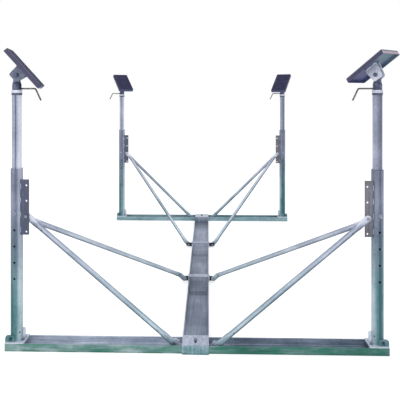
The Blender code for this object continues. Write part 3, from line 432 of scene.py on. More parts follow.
def bead(path, radius, loop=False, pitch=0.0042):
    """A weld bead along a path: a round run whose radius swells by a ninth with each ripple.

    Its rings stand square to the path, on its tangent crossed with an upright or, where that fails, a level
    helper.
    """
    path = np.asarray(path, float)
    if loop:
        tangent = np.roll(path, -1, 0) - np.roll(path, 1, 0)
    else:
        tangent = np.gradient(path, axis=0)
    tangent /= np.linalg.norm(tangent, axis=1, keepdims=True)
    upright = np.where(np.abs(tangent[:, 2:]) < 0.9, (0.0, 0, 1), (0.0, 1, 0))
    across = np.cross(tangent, upright)
    across /= np.linalg.norm(across, axis=1, keepdims=True)
    upward = np.cross(across, tangent)
    run = np.cumsum(np.linalg.norm(np.diff(path, axis=0, prepend=path[:1]), axis=1))
    swell = radius * (1 + 0.11 * np.cos(2 * math.pi * run / pitch))
    if not loop:
        end = np.minimum(run, run[-1] - run) / radius
        swell = swell * np.sqrt(1 - (1 - np.clip(end, 0.06, 1)) ** 2)
    angle = 2 * math.pi * np.arange(10)[None, :, None] / 10
    rings = path[:, None] + swell[:, None, None] * (
        across[:, None] * np.cos(angle) + upward[:, None] * np.sin(angle))
    return stacked(rings, loop)


def line(start, end, step=0.0007):
    """Evenly spaced points from one point to another."""
    start, end = np.asarray(start, float), np.asarray(end, float)
    count = max(4, int(np.linalg.norm(end - start) / step))
    return start + (end - start) * np.linspace(0, 1, count)[:, None]


zinc_beam = {"front": galvanised("galvanised_front_beam", base=0.78, streaks=0.3, cool=0.25,
                                 front=(ZINC_GRASS_REFLECTION, 0.22, 0.40, -1.396)),
             "rear": galvanised("galvanised_rear_beam", base=0.45, streaks=0.3)}
zinc_weld = galvanised("galvanised_weld", base=0.62, streaks=0.1, cool=0.5)
for end, side in ENDS.items():
    low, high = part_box(end + "_beam")
    middle = side * BEAM_MIDDLE
    depth = (high.y - low.y) / 2
    inner = depth - BEAM_WALL
    outline = rounded(
        [(-depth, 0), (depth, 0), (depth, BEAM_TOP), (inner, BEAM_TOP),
         (inner, BEAM_WALL), (-inner, BEAM_WALL), (-inner, BEAM_TOP), (-depth, BEAM_TOP)],
        [0.0015, 0.0015, 0.001, BEAM_TOE, BEAM_ROOT, BEAM_ROOT, BEAM_TOE, 0.001])
    beam, welds = Piece(), Piece()
    beam.add(extruded(outline, low.x, high.x), X_RUN @ axes(origin=(middle, 0, 0)))
    for hand in (-1, 1):
        reach = inner + BITE
        box = np.array([(-BRIDGE_LENGTH / 2, -reach), (BRIDGE_LENGTH / 2, -reach),
                        (BRIDGE_LENGTH / 2, reach), (-BRIDGE_LENGTH / 2, reach)])
        box += (hand * (high.x - BRIDGE_LENGTH / 2), middle)
        beam.add(extruded(box, BEAM_TOP - BRIDGE, BEAM_TOP))
        for flange in (-1, 1):
            inward = high.x - BRIDGE_LENGTH
            welds.add(bead(line((hand * inward, middle + flange * (inner - 0.018), BEAM_TOP - BRIDGE),
                                (hand * inward, middle + flange * inner, BEAM_TOP - BRIDGE)), BRIDGE_WELD))
        lug_y = LUG_FACES[end, hand]
        plate = rounded([(-LUG_HALF_WIDTH, BEAM_WALL - BITE), (LUG_HALF_WIDTH, BEAM_WALL - BITE),
                         (LUG_HALF_WIDTH, LUG_TOP), (-LUG_HALF_WIDTH, LUG_TOP)],
                        [0.0003, 0.0003, LUG_SHOULDER, LUG_SHOULDER], 10)
        beam.add(extruded(plate, 0, LUG_PLATE), facing_rear((hand * LUG_X, lug_y, 0)))
        for face in (0, LUG_PLATE):
            welds.add(bead(line((hand * LUG_X - 0.03, lug_y + face, BEAM_WALL + 0.0008),
                                (hand * LUG_X + 0.03, lug_y + face, BEAM_WALL + 0.0008)), LUG_WELD))
    beam.finish(end + "_beam_channel", zinc_beam[end], [end + "_beam"], edge=BROKEN_EDGE)
    welds.finish(end + "_beam_welds", zinc_weld, [end + "_beam"])


# Fasteners of the base: bright zinc-plated M12 bolts with low heads, cold-headed and rolled, and their nuts.
# They hold the saddles to the beams' studs and the braces' lower tongues to the lugs.

BOLT_RADIUS = 0.006
BOLT_FLAT = 0.0095              # half the width over the flats
BOLT_HEAD = 0.0064
NUT_HEIGHT = 0.0095
BOLT_STICKOUT = 0.004
HEX_CHAMFER = 0.0012
SEAT = 0.0003
TONGUE = 0.006                  # the braces' flattened ends
LUG_BOLT_HEIGHT = 0.045
STUD_FOOT_TOP = 0.0124
WASHER_RADIUS = 0.012
WASHER_LOW = 0.0586
WASHER_TOP = 0.0611
ROUND = 1.0                     # stands for no flat in a turned row


def hex_rows(start, end, flat=BOLT_FLAT, both=False):
    """Rows of a turned hexagon from start to end, its far corners, or both ends', turned off."""
    corner = flat / math.cos(math.pi / 6)
    bite = math.copysign(HEX_CHAMFER, end - start)
    near = [(flat * 0.97, start, flat), (corner, start + bite, flat)] if both else [(corner, start, flat)]
    return near + [(corner, end - bite, flat), (flat * 0.97, end, flat)]


def lathe(rows, sides=36, closed=False):
    """Turn rows of radius, height and, where the row is a hexagon, half its width over the flats."""
    rows = [(*row, ROUND)[:3] for row in rows]
    return turned([row[:2] for row in rows], sides, closed, [row[2] for row in rows])


def bolt(grip):
    """A hexagon bolt through a grip that starts at zero: head below, nut and chamfered end beyond."""
    seat = grip + SEAT
    tip = seat + NUT_HEIGHT + BOLT_STICKOUT
    rows = hex_rows(-SEAT, -SEAT - BOLT_HEAD)[::-1]
    rows += [(BOLT_RADIUS, -SEAT), (BOLT_RADIUS, seat)]
    rows += hex_rows(seat, seat + NUT_HEIGHT, both=True)
    rows += [(BOLT_RADIUS, seat + NUT_HEIGHT), (BOLT_RADIUS, tip - 0.001), (BOLT_RADIUS - 0.001, tip)]
    return lathe(rows)


def plated(name, shade=(150, 155, 172), roughness=0.33):
    """Zinc plating: one cool grey, dulled in soft patches."""
    zinc = Finish(name, 0.8, roughness)
    dull = zinc.noise(zinc.place(), 60.0, 3.0)
    darker = np.asarray(shade) * 0.72
    zinc.feed("Base Color", zinc.mix(colour(shade), colour(darker), dull.over(0.35, 0.7)))
    zinc.feed("Roughness", (dull - 0.5) * 0.25 + roughness)
    return zinc.material


zinc_bolt = plated("plated_bolts")
for end, side in ENDS.items():
    fasteners = Piece()
    stud = hex_rows(BEAM_WALL - BITE, STUD_FOOT_TOP)
    stud += [(BOLT_RADIUS, STUD_FOOT_TOP), (BOLT_RADIUS, WASHER_LOW), (WASHER_RADIUS - 0.0005, WASHER_LOW),
             (WASHER_RADIUS, WASHER_LOW + 0.0004), (WASHER_RADIUS, WASHER_TOP - 0.0004),
             (WASHER_RADIUS - 0.0005, WASHER_TOP)]
    nut_top = WASHER_TOP + NUT_HEIGHT
    stud += hex_rows(WASHER_TOP, nut_top, both=True)
    stud += [(BOLT_RADIUS, nut_top), (BOLT_RADIUS, nut_top + BOLT_STICKOUT - 0.001),
             (BOLT_RADIUS - 0.001, nut_top + BOLT_STICKOUT)]
    fasteners.add(lathe(stud), along((0, side * BEAM_MIDDLE, 0), (0, 0, 1)))
    for hand in (-1, 1):
        start = (hand * LUG_X, LUG_FACES[end, hand] - SEAT - TONGUE, LUG_BOLT_HEIGHT)
        fasteners.add(bolt(TONGUE + SEAT + LUG_PLATE), along(start, (0, 1, 0)))
    fasteners.finish(end + "_beam_fasteners", zinc_bolt, [end + "_beam"], slot="fasteners")


# Saddles: an inverted channel bent from plate at each end of the spine, which drops over the cross beam and
# clasps it closely. A slot in its top, along the cradle, takes the beam's stud. Galvanised like the spine.

SADDLE_HALF = 0.0875
SADDLE_LIP = 0.010
SADDLE_LEG = 0.008
SADDLE_UNDER = 0.0503
SADDLE_TOP = 0.0583
SADDLE_BEND = 0.007
SADDLE_FAR = 1.4003             # inner face of the lip, from the cradle's middle
SADDLE_NEAR = 1.2997            # inner face of the leg on the spine's side
SADDLE_WELD = 0.0035
SLOT_HALF_WIDTH = 0.0067
SLOT_HALF_LENGTH = 0.030
SLOT_BLOCK = (0.014, 0.038)     # half sizes of the patch of quads round the slot


def pierced(u, v, openings, wrap=False, rings=2):
    """A sheet of quads over the lines u and v, with an opening in each block of cells that is named.

    Each opening gives its middle, the half sizes of its block and of itself, and the half length of its
    straight in units of its second half size. Rings of points move from the block's border to the opening's
    rim, which lies at middle + size * (m + (p - m) / |p - m|), p being the border point and m the nearest
    point of the straight. Returns the points, the quads, and the loops to close, each wound against the quads
    beside it.
    """
    u, v = np.asarray(u, float), np.asarray(v, float)
    columns, rows = len(u), len(v)
    points = [np.stack(np.meshgrid(u, v), -1).reshape(-1, 2)]
    keep = np.ones((rows - 1, columns if wrap else columns - 1), bool)
    quads, rims, count = [], [], rows * columns
    for (middle, block, size, straight) in openings:
        left, right = (np.abs(u - middle[0] - reach).argmin() for reach in (-block[0], block[0]))
        low, high = (np.abs(v - middle[1] - reach).argmin() for reach in (-block[1], block[1]))
        keep[low:high, left:right] = False
        ring = np.concatenate([
            low * columns + np.arange(left, right), np.arange(low, high) * columns + right,
            high * columns + np.arange(right, left, -1), np.arange(high, low, -1) * columns + left])
        border = points[0][ring]
        offset = (border - middle) / size
        nearest = np.stack([np.zeros(len(ring)), np.clip(offset[:, 1], -straight, straight)], -1)
        away = offset - nearest
        rim = middle + (nearest + away / np.linalg.norm(away, axis=1, keepdims=True)) * size
        share = np.linspace(0, 1, rings + 1)[1:, None, None]
        points.append((border + (rim - border) * share).reshape(-1, 2))
        index = np.concatenate([ring, count + np.arange(rings * len(ring))])
        quads.append(index[grid(rings + 1, len(ring), wrap_columns=True)])
        rims.append(index[-len(ring):])
        count += rings * len(ring)
    plain = grid(rows, columns, wrap_columns=wrap).reshape(rows - 1, -1, 4)
    quads = np.concatenate([plain[keep], *quads])
    first, last = np.arange(columns), (rows - 1) * columns + np.arange(columns)
    if wrap:
        rims += [first[::-1], last]
    else:
        sides = np.arange(1, rows - 1) * columns
        rims.append(np.concatenate([first, sides + columns - 1, last[::-1], sides[::-1]])[::-1])
    return np.concatenate(points), quads, rims


def walled(sheet, outer, inner):
    """A plate: the sheet laid on two surfaces, each a function of u and v, and joined round every loop."""
    points, quads, loops = sheet
    count = len(points)
    faces = [quads, quads[:, ::-1] + count]
    for loop in loops:
        after = np.roll(loop, -1)
        faces.append(np.stack([loop, after, after + count, loop + count], -1))
    return np.concatenate([outer(*points.T), inner(*points.T)]), faces


def bent(outside, inside):
    """Two surfaces from two profiles with matching knots: u is X, and v runs over the outer one's knots."""
    knots = np.arange(len(outside))

    def surface(profile):
        return lambda u, v: np.stack([u, np.interp(v, knots, profile[:, 0]),
                                      np.interp(v, knots, profile[:, 1])], -1)

    return surface(np.asarray(outside)), surface(np.asarray(inside))


zinc_saddle = galvanised("galvanised_saddle", base=0.74, streaks=0.3, cool=0.15,
                         front=(ZINC_LOW_REFLECTION, 0.36, 0.05, -1.4055))
for end, side in ENDS.items():
    outer = side * (SADDLE_FAR + SADDLE_LIP)
    lip = side * SADDLE_FAR
    leg = side * SADDLE_NEAR
    inner = side * (SADDLE_NEAR - SADDLE_LEG)
    outside = [(outer, 0.0), *rounded([(outer, 0), (outer, SADDLE_TOP), (inner, SADDLE_TOP), (inner, 0)],
                                      [1e-6, SADDLE_BEND, SADDLE_BEND, 1e-6])[6:18], (inner, 0.0)]
    inside = [(lip, 0.0), *rounded([(lip, 0), (lip, SADDLE_UNDER), (leg, SADDLE_UNDER), (leg, 0)],
                                   [1e-6, 0.0015, 0.0015, 1e-6])[6:18], (leg, 0.0)]
    across = outside[7][0] - outside[6][0]
    middle = 6 + (side * BEAM_MIDDLE - outside[6][0]) / across
    block_v, size_v = SLOT_BLOCK[1] / abs(across), SLOT_HALF_WIDTH / abs(across)
    straight = SLOT_HALF_LENGTH / SLOT_HALF_WIDTH - 1
    v = np.concatenate([np.arange(0, 7), middle + block_v * np.linspace(-1, 1, 13), np.arange(7, 14)])
    u = np.concatenate([np.linspace(-SADDLE_HALF, -SLOT_BLOCK[0], 6),
                        np.linspace(-SLOT_BLOCK[0], SLOT_BLOCK[0], 7)[1:-1],
                        np.linspace(SLOT_BLOCK[0], SADDLE_HALF, 6)])
    sheet = pierced(u, v, [((0.0, middle), (SLOT_BLOCK[0], block_v), (SLOT_HALF_WIDTH, size_v), straight)])
    saddle, welds = Piece(), Piece()
    saddle.add(walled(sheet, *bent(outside, inside)))
    saddle.finish(end + "_saddle_plate", zinc_saddle, [end + "_saddle"], edge=BROKEN_EDGE)
    seam = inner - side * 0.0003
    welds.add(bead(line((-0.070, seam, 0.010), (0.070, seam, 0.010)), SADDLE_WELD))
    welds.finish(end + "_saddle_weld", zinc_weld, [end + "_saddle"])


# Lug straps: a flat bar bent down over the spine's flanges, one before and one behind its middle, with a
# rounded lug welded to each leg. The long braces' lower tongues are bolted to the lugs. Galvanised.

STRAP_MIDDLE = 0.400            # from the cradle's middle
STRAP_LEG = 0.0878              # inner face of the legs
STRAP_PLATE = 0.006
STRAP_FOOT = 0.010
STRAP_BAR_TOP = 0.0563
STRAP_WIDTH = 0.050
STRAP_BOLT = (0.130, 0.030)
STRAP_TIP = 0.155
STRAP_WELD = 0.0026
# The lugs' near-black shades are painted shade: the lugs stand in shadow beside the spine's flanges.
LUG_SHADOW_SHADES = ((16, 24, 26), (34, 46, 48), (70, 88, 92), (120, 140, 146))

zinc_strap = galvanised("galvanised_strap", base=0.62, streaks=0.25, cool=0.2)
zinc_lug_in_shade = galvanised("galvanised_lugs", base=0.2, streaks=0.15, rows=(LUG_SHADOW_SHADES, LUG_SHADOW_SHADES))
for end, side in ENDS.items():
    outer = STRAP_LEG + STRAP_PLATE
    under = STRAP_BAR_TOP - STRAP_PLATE
    outline = rounded(
        [(-outer, STRAP_FOOT), (-STRAP_LEG, STRAP_FOOT), (-STRAP_LEG, under), (STRAP_LEG, under),
         (STRAP_LEG, STRAP_FOOT), (outer, STRAP_FOOT), (outer, STRAP_BAR_TOP), (-outer, STRAP_BAR_TOP)],
        [0.0008, 0.0008, 0.0008, 0.0008, 0.0008, 0.0008, 0.005, 0.005])
    middle = side * STRAP_MIDDLE
    strap, lugs, welds, bolts = Piece(), Piece(), Piece(), Piece()
    strap.add(extruded(outline, -STRAP_WIDTH / 2, STRAP_WIDTH / 2), facing_rear((0, middle, 0)))
    for hand in (-1, 1):
        root = outer - BITE
        plate = rounded([(root, 0.010), (STRAP_TIP, 0.010), (STRAP_TIP, 0.050), (root, 0.050)],
                        [0.0004, 0.0199, 0.0199, 0.0004], 10) * (hand, 1)
        lugs.add(extruded(plate, -LUG_PLATE / 2, LUG_PLATE / 2), facing_rear((0, middle, 0)))
        for face in (-1, 1):
            y = middle + face * (LUG_PLATE / 2 + 0.0006)
            welds.add(bead(line((hand * (outer + 0.0006), y, 0.012), (hand * (outer + 0.0006), y, 0.048)),
                           STRAP_WELD))
        start = (hand * STRAP_BOLT[0], middle + side * (LUG_PLATE / 2 + SEAT + TONGUE), STRAP_BOLT[1])
        bolts.add(bolt(TONGUE + SEAT + LUG_PLATE), along(start, (0, -side, 0)))
    strap.finish(end + "_strap_bar", zinc_strap, [end + "_strap"], edge=BROKEN_EDGE)
    lugs.finish(end + "_strap_lugs", zinc_lug_in_shade, [end + "_strap"], edge=BROKEN_EDGE)
    welds.finish(end + "_strap_welds", zinc_weld, [end + "_strap"])
    bolts.finish(end + "_strap_bolts", zinc_bolt, [end + "_strap"], slot="fasteners")


# Outer posts: heavy tube drilled through from the front and welded all round to a foot plate on the beam's
# flanges. A cleat before it takes a set screw, a rib stiffens its inner side, and a drain hole near the foot
# lets the zinc run out. Hot-dip galvanised after welding.

OUTER_RADIUS = 0.03805
OUTER_WALL = 0.0063
OUTER_TOP = 1.190
FOOT_UNDER = 0.0503
FOOT_FLOOR = 0.0563
FOOT_OUTWARD = 0.058            # the foot plate's edges from the post's axis
FOOT_INWARD = 0.067
FOOT_HALF_DEPTH = 0.050
PIN_HOLES = 0.468 + 0.107 * np.arange(5)
PIN_HOLE_RADIUS = 0.0075
DRAIN_HEIGHT = 0.110
DRAIN_RADIUS = 0.006
DRAIN_TURN = math.radians(55)   # inwards of the front
CLEAT_WIDTH = 0.065
CLEAT_TOP = 0.100
CLEAT_CORNER = 0.018
CLEAT_PLATE = 0.006
RIB_ROOT = 0.0366
RIB_WIDTH = 0.021
RIB_TOP = 0.132
RIB_CORNER = 0.010
FOOT_WELD = 0.0030
RIB_WELD = 0.0022
FOOT_BOLT = (0.048, 0.018)
SET_SCREW = (0.022, 0.076)      # outwards of the axis, and its height
HANDS = {-1: "left", 1: "right"}
CORNERS = {f"{end}_{name}": (hand, side) for end, side in ENDS.items() for hand, name in HANDS.items()}
joints = {joint["name"]: joint for joint in frame["joints"]}


def post_axis(corner):
    """Where a corner's post stands: its jack nut turns about the post's own axis."""
    x, y, _ = joints[corner + "_crank_turn"]["pos_m"]
    return x, y


def circle(centre, radius, count=96):
    """Points round a level circle."""
    angle = 2 * math.pi * np.arange(count) / count
    return np.stack([centre[0] + radius * np.cos(angle), centre[1] + radius * np.sin(angle),
                     np.full(count, centre[2])], -1)


def cylinder(radius):
    """A surface of u, the angle from the front towards the right, and v, the height."""
    return lambda u, v: np.stack([radius * np.sin(u), -radius * np.cos(u), v], -1)


# The stripes down the posts are painted reflections and shade; the left and right posts each get their own
# copy, placed for how the light falls on each side.
zinc_post = {}
for hand, base, reflection_stripes in (
        (-1, 0.38, ((0.24, 0.45, 0.22, 0.05), (-0.75, 1.2, 0.02, 0.42), (0.85, 0.5, -0.30, -0.50))),
        (1, 0.36, ((0.08, 0.34, 0.26, 0.42), (0.08, 1.0, 0.0, 0.40), (-0.98, 0.6, 0.0, -0.50)))):
    zinc_post[hand] = galvanised(f"galvanised_posts_{HANDS[hand]}", base=base, streaks=0.16, reflection_stripes=reflection_stripes,
                                 radius=OUTER_RADIUS)
zinc_foot = galvanised("galvanised_feet", base=0.92, streaks=0.2, cool=0.3)
zinc_cleat = galvanised("galvanised_cleats", base=0.15, streaks=0.2)
zinc_dull = plated("plated_set_screws", (64, 74, 90), 0.45)
for corner, (hand, side) in CORNERS.items():
    x, y = post_axis(corner)
    tube, foot, cleat, welds, bolts, set_screw = Piece(), Piece(), Piece(), Piece(), Piece(), Piece()

    columns = 72
    u = -math.pi / 2 + 2 * math.pi * np.arange(columns) / columns
    step = u[1] - u[0]
    v = [FOOT_FLOOR - BITE, 0.070, 0.085, *(DRAIN_HEIGHT + np.linspace(-0.010, 0.010, 5)),
         0.150, 0.220, 0.300, 0.380]
    for height in PIN_HOLES:
        v += [*(height + np.linspace(-0.012, 0.012, 5)), height + 0.035, height + 0.065]
    v += [1.000, 1.100, OUTER_TOP - 0.0012, OUTER_TOP]
    size = (math.asin(PIN_HOLE_RADIUS / OUTER_RADIUS), PIN_HOLE_RADIUS)
    openings = [((turn, height), (4 * step, 0.012), size, 0.0) for height in PIN_HOLES
                for turn in (0.0, math.pi)]
    drain = round(-hand * DRAIN_TURN / step) * step
    openings.append(((drain, DRAIN_HEIGHT), (3 * step, 0.010), (DRAIN_RADIUS / OUTER_RADIUS, DRAIN_RADIUS),
                     0.0))
    tube.add(walled(pierced(u, v, openings, wrap=True), cylinder(OUTER_RADIUS),
                    cylinder(OUTER_RADIUS - OUTER_WALL)),
             along((x, y, 0), (0, 0, 1)))
    tube.finish(corner + "_outer_tube", zinc_post[hand], [corner + "_outer_post"], edge=0.0008)

    plate = np.array([(FOOT_OUTWARD, -FOOT_HALF_DEPTH), (FOOT_OUTWARD, FOOT_HALF_DEPTH),
                      (-FOOT_INWARD, FOOT_HALF_DEPTH), (-FOOT_INWARD, -FOOT_HALF_DEPTH)])
    foot.add(extruded(plate * (hand, 1) + (x, y), FOOT_UNDER, FOOT_FLOOR))
    rib = rounded([(RIB_ROOT, FOOT_FLOOR - BITE), (OUTER_RADIUS + RIB_WIDTH, FOOT_FLOOR - BITE),
                   (OUTER_RADIUS + RIB_WIDTH, RIB_TOP), (RIB_ROOT, RIB_TOP)],
                  [0.0003, 0.0003, RIB_CORNER, 0.0003], 8)
    foot.add(extruded(rib * (-hand, 1) + (x, 0), -0.003, 0.003), facing_rear((0, y, 0)))
    foot.finish(corner + "_foot_plate", zinc_foot, [corner + "_outer_post"], edge=BROKEN_EDGE)

    cleat_face = y + BITE - OUTER_RADIUS - CLEAT_PLATE
    outline = rounded([(FOOT_OUTWARD - CLEAT_WIDTH, FOOT_FLOOR - BITE), (FOOT_OUTWARD, FOOT_FLOOR - BITE),
                       (FOOT_OUTWARD, CLEAT_TOP), (FOOT_OUTWARD - CLEAT_WIDTH, CLEAT_TOP)],
                      [0.0003, 0.0003, CLEAT_CORNER, 0.0008], 10)
    cleat.add(extruded(outline * (hand, 1) + (x, 0), 0, CLEAT_PLATE), facing_rear((0, cleat_face, 0)))
    cleat.finish(corner + "_foot_cleat", zinc_cleat, [corner + "_outer_post"], edge=BROKEN_EDGE)

    welds.add(bead(circle((x, y, FOOT_FLOOR + 0.0012), OUTER_RADIUS + 0.0008, 240), FOOT_WELD, loop=True,
                   pitch=0.0048))
    rib_x = x - hand * (OUTER_RADIUS + 0.0006)
    for face in (-1, 1):
        welds.add(bead(line((rib_x, y + face * 0.0034, FOOT_FLOOR + 0.004),
                            (rib_x, y + face * 0.0034, RIB_TOP - 0.002)),
                       RIB_WELD))
    front = cleat_face - 0.0005
    welds.add(bead(line((x - hand * 0.004, front, FOOT_FLOOR + 0.0004),
                        (x + hand * 0.055, front, FOOT_FLOOR + 0.0004)),
                   RIB_WELD))
    welds.finish(corner + "_foot_welds", zinc_weld, [corner + "_outer_post"])

    for spread in (-1, 1):
        start = (x - hand * FOOT_BOLT[0], y + spread * FOOT_BOLT[1], FOOT_FLOOR)
        bolts.add(bolt(0.0123), along(start, (0, 0, -1)))
    rows = hex_rows(BITE, -BOLT_HEAD)[::-1] + [(BOLT_RADIUS, BITE), (BOLT_RADIUS, 0.020)]
    set_screw.add(lathe(rows), along((x + hand * SET_SCREW[0], cleat_face, SET_SCREW[1]), (0, 1, 0)))
    bolts.finish(corner + "_foot_bolts", zinc_bolt, [corner + "_outer_post"], slot="fasteners")
    set_screw.finish(corner + "_foot_set_screw", zinc_dull, [corner + "_outer_post"], slot="fasteners")


# Brace plates: a flat bar with a row of four drilled holes, set against the outer tube just in front of its
# middle and held by weld stitches on its edge. The braces' upper tongues are bolted in the second hole from
# below.

PLATE_LOW = 0.755
PLATE_HIGH = 1.120
PLATE_EDGE = 0.090
PLATE_FORWARD = 0.020
PLATE_HOLES = 0.775 + 0.102 * np.arange(4)
PLATE_HOLE_INSET = 0.073
PLATE_HOLE_RADIUS = 0.0067
PLATE_STITCHES = (0.790, 0.890, 0.985, 1.075)
STITCH = 0.036
STITCH_WELD = 0.0032
ZINC_WARM = ((78, 78, 88), (124, 126, 136), (166, 168, 180), (216, 218, 226))

zinc_plate = {-1: galvanised("galvanised_plates_left", base=-0.04, streaks=0.25, cool=0.2),
              1: galvanised("galvanised_plates_right", base=0.16, streaks=0.25, cool=0.1,
                            rows=(ZINC_WARM, ZINC_LOW_REFLECTION))}
for corner, (hand, side) in CORNERS.items():
    x, y = post_axis(corner)
    near = (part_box(corner + "_brace_plate")[0 if hand < 0 else 1].x - x) * -hand
    reach = 0.012
    u = np.array([near, 0.045, 0.052, *(PLATE_HOLE_INSET + np.linspace(-reach, reach, 5)), PLATE_EDGE])
    v = [PLATE_LOW]
    for height in PLATE_HOLES:
        v += [*(height + np.linspace(-reach, reach, 5)), height + 0.035, height + 0.070]
    v[-2:] = [PLATE_HIGH]
    openings = [((PLATE_HOLE_INSET, height), (reach, reach), (PLATE_HOLE_RADIUS,) * 2, 0.0)
                for height in PLATE_HOLES]
    faces = [lambda u, v, depth=depth: np.stack([x - hand * u, np.full(len(u), y + depth), v], -1)
             for depth in (-PLATE_FORWARD - 0.004, -PLATE_FORWARD + 0.004)]
    plate, welds = Piece(), Piece()
    plate.add(walled(pierced(u, v, openings, rings=3), *faces))
    plate.finish(corner + "_brace_flat", zinc_plate[hand], [corner + "_brace_plate"], edge=0.001)
    for height in PLATE_STITCHES:
        seam = x - hand * (near + 0.0012)
        welds.add(bead(line((seam, y - PLATE_FORWARD - 0.0042, height - STITCH / 2),
                            (seam, y - PLATE_FORWARD - 0.0042, height + STITCH / 2)), STITCH_WELD))
    welds.finish(corner + "_brace_plate_welds", zinc_weld, [corner + "_brace_plate"])


# Braces: tube whose ends are pressed flat to tongues, drilled, rounded off and set square to the cradle. Each
# post has a long one to the strap on the spine and a short one to the lug in the beam. A small vent near each
# end lets zinc in and air out of the bath.

BRACE_RADIUS = 0.01685
TONGUE_HALF_WIDTH = 0.020
TONGUE_STRAIGHT = 0.048
TONGUE_BLEND = 0.060
TONGUE_SQUARENESS = 8.0
VENT_RADIUS = 0.004
VENT_DISTANCE = 0.030
VENT_DEPTH = 0.008
BRACE_TOP = 0.877
UPPER_TONGUES = {               # middle planes of the tongues on the brace plate
    "front_left": {"short": -1.3627, "long": -1.3564}, "front_right": {"long": -1.3773, "short": -1.3836},
    "rear_left": {"short": 1.3227, "long": 1.3164}, "rear_right": {"short": 1.3227, "long": 1.3164}}
STRAP_TONGUE = 0.4073


def brace_tube(upper, lower):
    """A brace, over u, the angle round it, and v, the distance along it from its upper bolt.

    Each section is a superellipse: x = w |cos u|^e, y = t |sin u|^e with e = 2 / n, whose n falls from 8 on
    the tongue to 2 on the tube while its half width w and half thickness t change evenly. Past the bolts the
    width closes in a half circle. Both vents are blind pockets.
    """
    upper, lower = np.asarray(upper), np.asarray(lower)
    run = (lower - upper) * (1, 0, 1)
    run /= np.linalg.norm(run)
    across = np.cross(run, (0, 1, 0))
    bends = upper + run * TONGUE_STRAIGHT, lower - run * TONGUE_STRAIGHT
    span = np.linalg.norm(bends[1] - bends[0])
    middle_run = (bends[1] - bends[0]) / span
    length = span + 2 * TONGUE_STRAIGHT
    first, last = TONGUE_STRAIGHT, length - TONGUE_STRAIGHT
    full = TONGUE_STRAIGHT + TONGUE_BLEND

    def surface(u, v):
        knots = [-TONGUE_HALF_WIDTH, first, last, length + TONGUE_HALF_WIDTH]
        stops = np.stack([upper - run * TONGUE_HALF_WIDTH, *bends, lower + run * TONGUE_HALF_WIDTH])
        centre = np.stack([np.interp(v, knots, stops[:, axis]) for axis in range(3)], -1)
        turn = np.interp(v, [first - 0.004, first + 0.004, last - 0.004, last + 0.004], [0, 1, 1, 0])
        tangent = run + (middle_run - run) * turn[:, None]
        through = np.cross(tangent / np.linalg.norm(tangent, axis=1, keepdims=True), across)
        share = np.interp(v, [first, full, length - full, last], [0, 1, 1, 0])
        beyond = np.clip(np.maximum(-v, v - length) / TONGUE_HALF_WIDTH, 0, 0.999)
        wide = (TONGUE_HALF_WIDTH + (BRACE_RADIUS - TONGUE_HALF_WIDTH) * share) * np.sqrt(1 - beyond ** 2)
        thick = TONGUE / 2 + (BRACE_RADIUS - TONGUE / 2) * share
        exponent = 2 / (TONGUE_SQUARENESS + (2 - TONGUE_SQUARENESS) * share)
        flat_x = np.sign(np.cos(u)) * np.abs(np.cos(u)) ** exponent * wide
        flat_y = np.sign(np.sin(u)) * np.abs(np.sin(u)) ** exponent * thick
        return centre + across * flat_x[:, None] + through * flat_y[:, None]

    towards_front = 1.0 if np.cross(middle_run, across)[1] < 0 else -1.0
    sides = 48
    u = -math.pi + 2 * math.pi * np.arange(sides) / sides
    vents = (full + VENT_DISTANCE, length - full - VENT_DISTANCE)
    v = [-TONGUE_HALF_WIDTH * 0.9995, *(-TONGUE_HALF_WIDTH * np.cos(np.linspace(0.08, math.pi / 2, 12))),
         *np.linspace(0.008, first - 0.004, 4), first, first + 0.004,
         *np.linspace(first + 0.008, full, 12)]
    v = np.array([*v, full + 0.012, *(vents[0] + np.linspace(-0.008, 0.008, 5)), full + 0.06])
    v = np.concatenate([v, np.linspace(full + 0.12, length / 2, 5)])
    v = np.concatenate([v, length - v[-2::-1]])
    block = (4 * (u[1] - u[0]), 0.008)
    size = (VENT_RADIUS / BRACE_RADIUS, VENT_RADIUS)
    openings = [((towards_front * math.pi / 2, vent), block, size, 0.0) for vent in vents]
    points, quads, loops = pierced(u, v, openings, wrap=True)
    skin = surface(*points.T)
    upside = math.copysign(BRACE_RADIUS, across[2])
    grain = np.stack([upside * np.cos(points[:, 0]), BRACE_RADIUS * np.sin(points[:, 0]), points[:, 1]], -1)
    faces = [quads, loops[-2][None], loops[-1][None]]
    inward = -towards_front * np.cross(middle_run, across) * VENT_DEPTH
    for rim in loops[:-2]:
        floor_of = np.arange(len(rim)) + len(skin)
        skin = np.concatenate([skin, skin[rim] + inward])
        grain = np.concatenate([grain, grain[rim]])
        after = np.roll(np.arange(len(rim)), -1)
        faces.append(np.stack([rim, rim[after], floor_of[after], floor_of], -1))
        faces.append(floor_of[None])
    return skin, faces, grain


